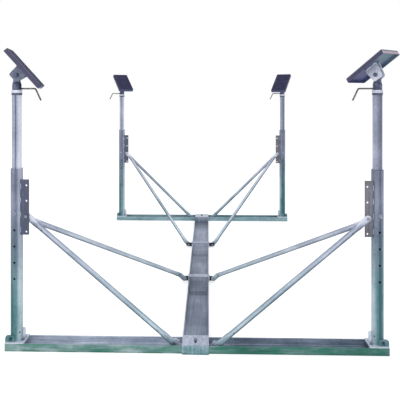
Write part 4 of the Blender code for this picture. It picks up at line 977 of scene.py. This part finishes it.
# The braces' stripes are painted light: a painted highlight along the top and painted shade along the
# underside.
zinc_brace = {}
for kind, base, amount in (("long", 0.60, 0.50), ("short", 0.50, 0.40)):
    reflection_stripes = ((-0.7, 0.9, amount, amount + 0.15), (0.5, 0.7, -0.5 * amount, -0.5 * amount))
    zinc_brace[kind] = galvanised(f"galvanised_{kind}_braces", base=base, streaks=0.25, reflection_stripes=reflection_stripes,
                                  radius=BRACE_RADIUS, cool=0.6, tips=0.35)
for corner, (hand, side) in CORNERS.items():
    x, y = post_axis(corner)
    top_x = x - hand * PLATE_HOLE_INSET
    planes = UPPER_TONGUES[corner]
    feet = {"long": (hand * STRAP_BOLT[0], side * STRAP_TONGUE, STRAP_BOLT[1]),
            "short": (hand * LUG_X, planes["short"], LUG_BOLT_HEIGHT)}
    for kind, foot in feet.items():
        brace = Piece()
        skin, faces, grain = brace_tube((top_x, planes[kind], BRACE_TOP), foot)
        brace.add((skin, faces), grain=grain)
        brace.finish(f"{corner}_{kind}_tube", zinc_brace[kind], [f"{corner}_{kind}_brace"])

    low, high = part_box(corner + "_brace_bolt")
    bolts = Piece()
    start = low.y + BOLT_HEAD + SEAT
    grip = (high.y - BOLT_STICKOUT - NUT_HEIGHT - SEAT) - start
    bolts.add(bolt(grip), along((top_x, start, BRACE_TOP), (0, 1, 0)))
    bolts.finish(corner + "_head_bolt", zinc_bolt, [corner + "_brace_bolt"], slot="fasteners")


# Stop pins: a plain turned pin through the outer tube, on which the inner tube stands, with a collar against
# the tube and a plain round knob to pull it by. Zinc plated.

PIN_RADIUS = 0.007
PIN_COLLAR = 0.012
KNOB_RADIUS = 0.010

zinc_pin = plated("plated_pins", (165, 168, 190), 0.38)
for corner in CORNERS:
    x, y = post_axis(corner)
    face = OUTER_RADIUS + SEAT
    rows = [(KNOB_RADIUS - 0.0015, -face - 0.018), (KNOB_RADIUS, -face - 0.0165),
            (KNOB_RADIUS, -face - 0.011), (KNOB_RADIUS - 0.0015, -face - 0.0095),
            (PIN_RADIUS, -face - 0.009), (PIN_RADIUS, -face - 0.0042), (PIN_COLLAR - 0.0005, -face - 0.004),
            (PIN_COLLAR, -face - 0.0035), (PIN_COLLAR, -face - 0.0004), (PIN_COLLAR - 0.0005, -face),
            (PIN_RADIUS, -face), (PIN_RADIUS, OUTER_RADIUS + 0.012),
            (PIN_RADIUS - 0.002, OUTER_RADIUS + 0.014)]
    pin = Piece()
    pin.add(lathe(rows, 40), along((x, y, PIN_HOLES[-1]), (0, 1, 0)))
    pin.finish(corner + "_pin", zinc_pin, [corner + "_stop_pin"], corner + "_pin", "fasteners")


# Inner posts: the lighter tube that slides in the outer one, closed at the top by a thick cap with a turned
# collar under it. Drawn tube, welded, galvanised, and brighter than the outer posts where it has slid.

INNER_RADIUS = 0.03015
INNER_WALL = 0.004
INNER_BOTTOM = 0.9033
INNER_TOP = -0.030              # this and the next three count from the crank joint's height
CAP_TOP = -0.018
COLLAR_LOW = -0.052
COLLAR_GROOVE = -0.0385
COLLAR_RADIUS = 0.0332
COLLAR_NECK = 0.0318
CAP_RADIUS = 0.034
SPINDLE_BORE = 0.0154

# The stripes down the inner posts are painted reflections and shade; the left and right posts each get their
# own copy, placed for how the light falls on each side.
zinc_inner = {}
for hand, base, reflection_stripes in (
        (-1, 0.62, ((0.14, 0.26, 0.48, 0.48), (0.95, 0.55, -0.45, -0.45))),
        (1, 0.60, ((0.30, 1.2, 0.36, 0.36), (-1.0, 0.4, -0.10, -0.10)))):
    zinc_inner[hand] = galvanised(f"galvanised_inner_posts_{HANDS[hand]}", base=base, streaks=0.14,
                                  reflection_stripes=reflection_stripes, radius=INNER_RADIUS, cool=0.3)
zinc_cap = galvanised("galvanised_caps", base=0.95, streaks=0.1)
zinc_ring = galvanised("galvanised_collar_rings", base=0.02, streaks=0.1)
for corner, (hand, side) in CORNERS.items():
    joint = joints[corner + "_crank_turn"]["pos_m"]
    upright = along(joint, (0, 0, 1))
    tube, ring, cap = Piece(), Piece(), Piece()
    inside = INNER_RADIUS - INNER_WALL
    foot = INNER_BOTTOM - joint[2]
    tube.add(lathe([(INNER_RADIUS - 0.001, foot), (INNER_RADIUS, foot + 0.001),
                    (INNER_RADIUS, COLLAR_LOW + 0.002), (inside, COLLAR_LOW + 0.002), (inside, foot)],
                   72, closed=True), upright)
    tube.finish(corner + "_inner_tube", zinc_inner[hand], [corner + "_inner_post"], corner + "_lift")
    ring.add(lathe([(inside, COLLAR_LOW), (COLLAR_RADIUS - 0.0007, COLLAR_LOW),
                    (COLLAR_RADIUS, COLLAR_LOW + 0.001), (COLLAR_RADIUS, COLLAR_GROOVE - 0.002),
                    (COLLAR_NECK, COLLAR_GROOVE - 0.001), (COLLAR_NECK, COLLAR_GROOVE + 0.0004),
                    (inside, COLLAR_GROOVE + 0.0004)],
                   72, closed=True), upright)
    ring.finish(corner + "_inner_collar", zinc_ring, [corner + "_inner_post"], corner + "_lift")
    cap.add(lathe([(inside, COLLAR_GROOVE), (CAP_RADIUS - 0.0016, COLLAR_GROOVE),
                   (CAP_RADIUS, COLLAR_GROOVE + 0.0012), (CAP_RADIUS, CAP_TOP - 0.0016),
                   (CAP_RADIUS - 0.0016, CAP_TOP), (SPINDLE_BORE, CAP_TOP),
                   (SPINDLE_BORE, INNER_TOP), (inside, INNER_TOP)], 72, closed=True), upright)
    cap.finish(corner + "_inner_cap", zinc_cap, [corner + "_inner_post"], corner + "_lift")


# Jack nuts: a turned steel nut that rests on the cap and carries the spindle, with a bent round bar let into
# its side and welded there as a crank. Left dark, wiped with oil.

NUT_RADIUS = 0.029
NUT_BOTTOM = -0.0177            # this, the next and the crank from the crank joint's height
NUT_TOP = 0.0224
CRANK_ROD = 0.0055
CRANK_HEIGHT = -0.0095
CRANK_REACH = 0.125
CRANK_BEND = 0.014
CRANK_GRIP = 0.078
CRANK_DROOP = math.radians(65)
CRANK_WELD = 0.0018


def dark_steel(name, shade, worn, metallic=0.55, roughness=0.42):
    """Bare or blackened steel under oil: one dark shade, worn paler in patches."""
    steel = Finish(name, metallic, roughness)
    wear = steel.noise(steel.place(), 38.0, 5.0)
    scratches = steel.noise(steel.grain(), 1.0, 3.0, (260, 260, 40))
    share = (wear + scratches * 0.4).over(0.62, 0.95)
    steel.feed("Base Color", steel.mix(colour(shade), colour(worn), share))
    steel.feed("Roughness", (wear - 0.5) * 0.3 + roughness)
    return steel.material


steel_nut = dark_steel("oiled_steel", (62, 68, 92), (112, 118, 146))
steel_crank = dark_steel("crank_steel", (78, 80, 84), (132, 132, 138))
for corner in CORNERS:
    joint = joints[corner + "_crank_turn"]["pos_m"]
    nut, crank = Piece(), Piece()
    nut.add(lathe([(NUT_RADIUS - 0.001, NUT_BOTTOM), (NUT_RADIUS, NUT_BOTTOM + 0.001),
                   (NUT_RADIUS, NUT_TOP - 0.0165), (NUT_RADIUS - 0.0012, NUT_TOP - 0.0155),
                   (NUT_RADIUS - 0.0012, NUT_TOP - 0.0145), (NUT_RADIUS, NUT_TOP - 0.0135),
                   (NUT_RADIUS, NUT_TOP - 0.003), (NUT_RADIUS - 0.003, NUT_TOP),
                   (SPINDLE_BORE + 0.001, NUT_TOP), (SPINDLE_BORE, NUT_TOP - 0.001),
                   (SPINDLE_BORE, NUT_BOTTOM)], 72, closed=True), along(joint, (0, 0, 1)))
    nut.finish(corner + "_nut", steel_nut, [corner + "_crank_nut"], corner + "_crank", "pad_tray")

    low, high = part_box(corner + "_crank_nut")
    way = 1.0 if high.x - joint[0] > joint[0] - low.x else -1.0
    bend_x = CRANK_REACH - CRANK_BEND * math.tan(CRANK_DROOP / 2)
    turn = np.linspace(0, CRANK_DROOP, 14)
    path = np.concatenate([
        [(NUT_RADIUS - 0.009, CRANK_HEIGHT), (0.060, CRANK_HEIGHT)],
        np.stack([bend_x + CRANK_BEND * np.sin(turn), CRANK_HEIGHT - CRANK_BEND * (1 - np.cos(turn))], -1)])
    fall = np.array([0, 0, *turn])
    tip = path[-1] + CRANK_GRIP * np.array([math.cos(CRANK_DROOP), -math.sin(CRANK_DROOP)])
    back = np.array([0.0016, 0.0005, 0.0])
    path = np.concatenate([path, tip - back[:, None] * (math.cos(CRANK_DROOP), -math.sin(CRANK_DROOP))])
    fall = np.array([*fall, *[CRANK_DROOP] * 3])[:, None, None]
    thick = np.array([CRANK_ROD] * (len(path) - 2) + [CRANK_ROD - 0.0006, CRANK_ROD - 0.0018])
    angle = 2 * math.pi * np.arange(20)[None, :, None] / 20
    rise = np.concatenate([np.sin(fall), 0 * fall, np.cos(fall)], -1)
    section = np.cos(angle) * rise + np.sin(angle) * (0.0, 1.0, 0.0)
    rings = path[:, [0, 0, 1]][:, None] * (1, 0, 1) + thick[:, None, None] * section
    place = axes((way, 0, 0), (0, way, 0), origin=joint)
    crank.add(stacked(rings), place)
    ring_turn = 2 * math.pi * np.arange(60) / 60
    collar = np.stack([np.full(60, NUT_RADIUS + 0.0006), 0.0060 * np.cos(ring_turn),
                       CRANK_HEIGHT + 0.0060 * np.sin(ring_turn)], -1)
    crank.add(bead(collar, CRANK_WELD, loop=True), place)
    crank.finish(corner + "_crank_bar", steel_crank, [corner + "_crank_nut"], corner + "_crank",
                 "crank_steel")


# Spindles: a rolled trapezoidal screw of 30 mm, 6 mm pitch, with a turned spigot on top for the swivel head.
# Inside the posts at rest; zinc plated and greased.

SPINDLE_RADIUS = 0.015
SPINDLE_SHOULDER = 0.0227       # above the crank joint
SPINDLE_LENGTH = 0.4027
SPIGOT_RADIUS = 0.008
SPIGOT_LENGTH = 0.022
THREAD_PITCH = 0.006
THREAD_DEPTH = 0.0028


def screw():
    """The spindle below its shoulder at height 0, over the angle u and the depth v.

    Its radius is R - d * clip(2.2 * |2 frac(v / pitch + u / 2 pi) - 1| - 0.6, 0, 1): flat crests, flat roots
    and straight flanks. The depth d fades over the top 8 mm and the lowest 4 mm.
    """
    sides = 40
    angle = 2 * math.pi * np.arange(sides) / sides
    drop = np.linspace(0, SPINDLE_LENGTH, 540)
    v, u = np.meshgrid(drop, angle, indexing="ij")
    wave = np.abs(2 * ((v / THREAD_PITCH + u / (2 * math.pi)) % 1) - 1)
    depth = THREAD_DEPTH * np.clip((v - 0.006) / 0.008, 0, 1) * np.clip((SPINDLE_LENGTH - v) / 0.004, 0, 1)
    chamfer = np.clip(v - SPINDLE_LENGTH + 0.003, 0, 1)
    radius = SPINDLE_RADIUS - depth * np.clip(2.2 * wave - 0.6, 0, 1) - chamfer
    body = np.stack([radius * np.cos(u), radius * np.sin(u), -v], -1)
    head = np.array([(SPIGOT_RADIUS - 0.001, SPIGOT_LENGTH), (SPIGOT_RADIUS, SPIGOT_LENGTH - 0.001),
                     (SPIGOT_RADIUS, 0.0005), (SPINDLE_RADIUS - 0.0006, 0.0), (SPINDLE_RADIUS, -0.0006)])
    spigot = np.stack([head[:, :1] * np.cos(angle), head[:, :1] * np.sin(angle),
                       np.repeat(head[:, 1:], sides, 1)], -1)
    return stacked(np.concatenate([spigot, body[2:]]))


zinc_screw = plated("plated_screw", (140, 146, 158), 0.3)
for corner in CORNERS:
    x, y, height = joints[corner + "_crank_turn"]["pos_m"]
    spindle = Piece()
    spindle.add(screw(), along((x, y, height + SPINDLE_SHOULDER), (0, 0, 1)))
    spindle.finish(corner + "_screw_thread", zinc_screw, [corner + "_spindle"], corner + "_screw",
                   "fasteners")


# Swivel heads: a small forging with a round base that turns on the spindle's shoulder and a flat neck, domed
# on top and cross-bored for the pivot bolt. Dark steel.

HEAD_BASE_RADIUS = 0.027
HEAD_BASE = 0.008
NECK_HALF_WIDTH = 0.022
NECK_HALF_THICKNESS = 0.013
PIVOT_RISE = 0.057
HEAD_FILLET = 0.006


def pad_frames(corner):
    """Two frames on a pad's pivot: one turned to the pad's azimuth, and one also tilted as at rest.

    The azimuth is square to the tilt joint's axis, and the tilt is what its upper limit leaves of 50 degrees.
    """
    joint = joints[corner + "_pad_tilt"]
    azimuth = math.atan2(-joint["axis"][0], joint["axis"][1])
    tilt = math.radians(50 - joint["range_deg"][1])
    level = axes((math.cos(azimuth), math.sin(azimuth), 0), (-math.sin(azimuth), math.cos(azimuth), 0),
                 origin=joint["pos_m"])
    return level, level @ axes((math.cos(tilt), 0, -math.sin(tilt)), z=(math.sin(tilt), 0, math.cos(tilt)))


steel_head = dark_steel("forged_steel", (70, 78, 102), (120, 126, 152))
for corner in CORNERS:
    place = pad_frames(corner)[0] @ axes(origin=(0, 0, -PIVOT_RISE))
    head = Piece()
    sides = 64
    angle = 2 * math.pi * (np.arange(sides) + 0.5) / sides
    fillet = np.linspace(0, math.pi / 2, 8)
    share = np.array([0, 0, 0, *np.sin(fillet), 1.0])
    level = np.array([0.0, 0.0012, HEAD_BASE - 0.001, *(HEAD_BASE + HEAD_FILLET * (1 - np.cos(fillet))),
                      0.0545])
    half_x = np.array([HEAD_BASE_RADIUS - 0.001, HEAD_BASE_RADIUS, HEAD_BASE_RADIUS,
                       *(NECK_HALF_WIDTH + 0.0035 * (1 - np.sin(fillet))), NECK_HALF_WIDTH])
    half_y = np.array([HEAD_BASE_RADIUS - 0.001, HEAD_BASE_RADIUS, HEAD_BASE_RADIUS,
                       *(NECK_HALF_THICKNESS + HEAD_FILLET * (1 - np.sin(fillet))), NECK_HALF_THICKNESS])
    power = np.where(share > 0, 2 / (2.6 + 5.4 * share), 1.0)[:, None]
    ring_x = np.sign(np.cos(angle)) * np.abs(np.cos(angle)) ** power * half_x[:, None]
    ring_y = np.sign(np.sin(angle)) * np.abs(np.sin(angle)) ** power * half_y[:, None]
    rings = np.stack([ring_x, ring_y, np.repeat(level[:, None], sides, 1)], -1)
    head.add(stacked(rings), place)
    dome = np.linspace(0, math.pi, 33)
    outline = np.stack([NECK_HALF_WIDTH * np.cos(dome), PIVOT_RISE + NECK_HALF_WIDTH * np.sin(dome)], -1)
    outline = np.concatenate([[(NECK_HALF_WIDTH, 0.030)], outline, [(-NECK_HALF_WIDTH, 0.030)]])
    head.add(extruded(outline, -NECK_HALF_THICKNESS, NECK_HALF_THICKNESS), place @ Y_RUN)
    head.finish(corner + "_head_forging", steel_head, [corner + "_swivel_head"], corner + "_head",
                "pad_tray", edge=0.0015)


# Pad trays: a shallow pan pressed from plate, its rim turned down, with two ears welded under it that straddle
# the head's neck. Galvanised steel, coloured dark blue-grey in painted shade.

PAD_HALF = (0.160, 0.095)
PAD_CORNER = 0.012
PAD_LEAST_CORNER = 0.002
TRAY_PLATE = 0.004
TRAY_LOW = 0.050
TRAY_TOP = 0.0717
TRAY_PRESS = 0.0035             # outer radius of the pressed edge
EAR_FACE = 0.0133
EAR_PLATE = 0.006
EAR_TOP = 0.050
EAR_FOOT = 0.034
EAR_DROP = 0.033
EAR_CORNER = 0.014
EAR_WELD = 0.0030


def boxes(rows):
    """The pad's outline stacked by rows of inset and height, its corners' arcs less by the inset."""
    rings = []
    for inset, height in rows:
        x, y = PAD_HALF[0] - inset, PAD_HALF[1] - inset
        ring = rounded([(-x, -y), (x, -y), (x, y), (-x, y)], max(PAD_CORNER - inset, PAD_LEAST_CORNER), 10)
        rings.append(np.concatenate([ring, np.full((len(ring), 1), height)], 1))
    return stacked(rings)


def tray_steel():
    """Galvanised steel in painted shade: teal at the tray's high end, navy at the low end, its sides darker,
    and a pale band of painted light on the high end.
    """
    steel = Finish("tray_steel", 0.35, 0.5)
    grain = steel.grain()
    length, width = (steel.axis(grain, index) for index in (0, 1))
    wear = steel.noise(steel.place(), 34.0, 4.0)
    under = steel.mix(colour((98, 122, 140)), colour((72, 80, 124)), length.over(-0.13, 0.11))
    under = steel.mix(under, colour((122, 128, 150)), wear.over(0.62, 0.95) * 0.6)
    sides = steel.mix(under, colour((74, 72, 100)), width.size().over(0.0912, 0.0922))
    steel.feed("Base Color", steel.mix(sides, colour((172, 156, 168)), length.over(-0.1562, -0.1572)))
    steel.feed("Roughness", (wear - 0.5) * 0.3 + 0.5)
    return steel.material


steel_tray = tray_steel()
# The ears' slate shade is painted shade; the front right pad's ears get a near-white copy, a painted highlight.
steel_ear = {"left": dark_steel("ear_steel_left", (96, 106, 124), (128, 134, 156)),
             "right": dark_steel("ear_steel_right", (206, 212, 230), (238, 240, 250), 0.25, 0.36)}
for corner, (hand, side) in CORNERS.items():
    place = pad_frames(corner)[1]
    tray, ears = Piece(), Piece()
    press = np.linspace(0, math.pi / 2, 7)
    rows = [(TRAY_PLATE + 0.003, TRAY_TOP - TRAY_PLATE), (TRAY_PLATE, TRAY_TOP - TRAY_PLATE - 0.001),
            (TRAY_PLATE, TRAY_LOW + 0.0008), (TRAY_PLATE - 0.0008, TRAY_LOW), (0.0008, TRAY_LOW),
            (0.0, TRAY_LOW + 0.0008)]
    rows += [(TRAY_PRESS * (1 - math.cos(t)), TRAY_TOP - TRAY_PRESS * (1 - math.sin(t))) for t in press]
    tray.add(boxes(rows), place)
    tray.finish(corner + "_tray_pan", steel_tray, [corner + "_pad_tray"], corner + "_pad", "pad_tray")
    root = TRAY_TOP - TRAY_PLATE + 0.001
    outline = rounded([(-EAR_FOOT, -EAR_DROP), (EAR_FOOT, -EAR_DROP), (EAR_TOP, root), (-EAR_TOP, root)],
                      [EAR_CORNER, EAR_CORNER, 0.0004, 0.0004], 10)
    for face in (-1, 1):
        ears.add(extruded(outline, *sorted((face * EAR_FACE, face * (EAR_FACE + EAR_PLATE)))), place @ Y_RUN)
        seam = face * (EAR_FACE + EAR_PLATE + 0.0006)
        ears.add(bead(line((-0.044, seam, root - 0.0014), (0.044, seam, root - 0.0014)), EAR_WELD), place)
    steel = steel_ear["right" if corner == "front_right" else "left"]
    ears.finish(corner + "_tray_ears", steel, [corner + "_pad_tray"], corner + "_pad", "pad_tray",
                edge=0.0008)


# Pad facings: a sheet of dense dark rubber bonded on top of each tray, the face that meets the hull. Cut to
# the tray's outline, its edge a little rounded by handling.

FACING_LOW = 0.072
FACING_TOP = 0.080
FACING_INSET = 0.001
FACING_EDGE = 0.0015

rubber = Finish("facing_rubber", 0.0, 0.8)
rubber.feed("Specular IOR Level", 0.2)
scuff = rubber.noise(rubber.place(), 26.0, 5.0).over(0.45, 0.8)
edges = [rubber.axis(rubber.grain(), index).size() / PAD_HALF[index] for index in (0, 1)]
edge = edges[0].math("MAXIMUM", edges[1])
face = rubber.mix(colour((46, 46, 76)), colour((82, 82, 110)), scuff * 0.5)
# The paler band round the facing's rim is a painted sheen.
rubber.feed("Base Color", rubber.mix(face, colour((98, 103, 126)), edge.over(0.972, 0.984)))
rubber.bump(rubber.noise(rubber.place(), 900.0, 2.0), 0.0003, 0.4)
for corner in CORNERS:
    place = pad_frames(corner)[1]
    facing = Piece()
    quarter = np.linspace(0, math.pi / 2, 6)
    rows = [(FACING_INSET + FACING_EDGE * (1 - math.sin(t)), FACING_LOW + FACING_EDGE * (1 - math.cos(t)))
            for t in quarter]
    rows += [(FACING_INSET + FACING_EDGE * (1 - math.cos(t)), FACING_TOP - FACING_EDGE * (1 - math.sin(t)))
             for t in quarter]
    facing.add(boxes(rows), place)
    facing.finish(corner + "_facing_sheet", rubber.material, [corner + "_pad_facing"], corner + "_pad",
                  "pad_facing")


# Pivot bolts: one M16 bolt with a domed round head through both ears and the neck, on which the pad tilts,
# with a hexagon nut. Zinc plated.

PIVOT_RADIUS = 0.008
PIVOT_FLAT = 0.012
PIVOT_HEAD = 0.009
PIVOT_HEAD_RADIUS = 0.015
PIVOT_FACE = 0.0196

zinc_pivot = plated("plated_pivots", (96, 104, 130), 0.36)
for corner in CORNERS:
    place = pad_frames(corner)[0] @ axes(y=(0, 0, -1), z=(0, 1, 0))
    crown = np.linspace(0.12, math.pi / 2, 9)
    rows = [(PIVOT_HEAD_RADIUS * math.sin(t), -PIVOT_FACE - 0.0015 - (PIVOT_HEAD - 0.0015) * math.cos(t))
            for t in crown]
    rows += [(PIVOT_HEAD_RADIUS, -PIVOT_FACE), (PIVOT_RADIUS, -PIVOT_FACE), (PIVOT_RADIUS, PIVOT_FACE)]
    rows += hex_rows(PIVOT_FACE, PIVOT_FACE + PIVOT_HEAD, PIVOT_FLAT, both=True)
    rows += [(PIVOT_RADIUS, PIVOT_FACE + PIVOT_HEAD), (PIVOT_RADIUS, PIVOT_FACE + PIVOT_HEAD + 0.003),
             (PIVOT_RADIUS - 0.001, PIVOT_FACE + PIVOT_HEAD + 0.004)]
    bolts = Piece()
    bolts.add(lathe(rows, 48), place)
    bolts.finish(corner + "_pivot_m16", zinc_pivot, [corner + "_pivot_bolt"], corner + "_pad", "fasteners")


# Stage: a wide flat floor, a white world and three large soft lamps, as for a catalogue picture. The floor
# glows, so it shows white to the camera and in reflections, with hardly a shadow on it.


def white_to_the_eye(tree, dim, bright, node):
    """Strength of an emission: bright to the camera and in reflections and refractions, dim as a lamp."""
    path = tree.nodes.new("ShaderNodeLightPath")
    seen = None
    for ray in ("Is Camera Ray", "Is Glossy Ray", "Is Transmission Ray"):
        if seen is None:
            seen = path.outputs[ray]
            continue
        joined = tree.nodes.new("ShaderNodeMath")
        joined.operation = "MAXIMUM"
        tree.links.new(seen, joined.inputs[0])
        tree.links.new(path.outputs[ray], joined.inputs[1])
        seen = joined.outputs[0]
    strength = tree.nodes.new("ShaderNodeMapRange")
    tree.links.new(seen, strength.inputs["Value"])
    strength.inputs["To Min"].default_value = dim
    strength.inputs["To Max"].default_value = bright
    tree.links.new(strength.outputs[0], node.inputs["Strength"])


world = bpy.data.worlds.new("studio")
bpy.context.scene.world = world
world.use_nodes = True
background = world.node_tree.nodes["Background"]
background.inputs["Color"].default_value = (1, 1, 1, 1)
white_to_the_eye(world.node_tree, 0.7, 1.0, background)

paper = bpy.data.materials.new("white_paper")
paper.use_nodes = True
paper.node_tree.nodes.remove(paper.node_tree.nodes["Principled BSDF"])
matt = paper.node_tree.nodes.new("ShaderNodeBsdfDiffuse")
matt.inputs["Color"].default_value = (0.82, 0.82, 0.82, 1)
glow = paper.node_tree.nodes.new("ShaderNodeEmission")
white_to_the_eye(paper.node_tree, 0.0, 0.48, glow)
both = paper.node_tree.nodes.new("ShaderNodeAddShader")
paper.node_tree.links.new(matt.outputs[0], both.inputs[0])
paper.node_tree.links.new(glow.outputs[0], both.inputs[1])
paper.node_tree.links.new(both.outputs[0], paper.node_tree.nodes["Material Output"].inputs["Surface"])

bpy.ops.mesh.primitive_plane_add(size=120, location=(0, 0, -0.0006))
floor = bpy.context.object
floor.name = "studio_floor"
floor.data.materials.append(paper)

for name, where, size, power in (
        ("key_lamp", (-3.5, -8.5, 6.0), 8.0, 190), ("fill_lamp", (4.5, -8.0, 5.5), 8.0, 170),
        ("top_lamp", (0.0, 2.0, 8.0), 8.0, 60)):
    light = bpy.data.lights.new(name, "AREA")
    light.energy = power
    light.size = size
    lamp = bpy.data.objects.new(name, light)
    lamp.location = where
    aim = Vector((0, 0, 0.8)) - lamp.location
    lamp.rotation_euler = aim.to_track_quat("-Z", "Y").to_euler()
    bpy.context.scene.collection.objects.link(lamp)

bpy.context.scene.view_settings.view_transform = "Standard"


# Camera: where the photograph was taken from, 2.7 m in front of the front beam and 1.7 m up, held level with
# the lens shifted down. Worked out from the posts, pads, braces and beams in the photograph.

PHOTO_WIDTH = 400               # pixels
FOCAL_LENGTH = 406.7            # in the same pixels

lens = bpy.data.cameras.new("camera")
lens.sensor_width = 36.0
lens.lens = lens.sensor_width * FOCAL_LENGTH / PHOTO_WIDTH
lens.shift_y = -0.2727
camera = bpy.data.objects.new("camera", lens)
camera.location = (0.082, -4.0373, 1.7053)
camera.rotation_euler = (math.pi / 2, 0, 0.0197)
bpy.context.scene.collection.objects.link(camera)
bpy.context.scene.camera = camera
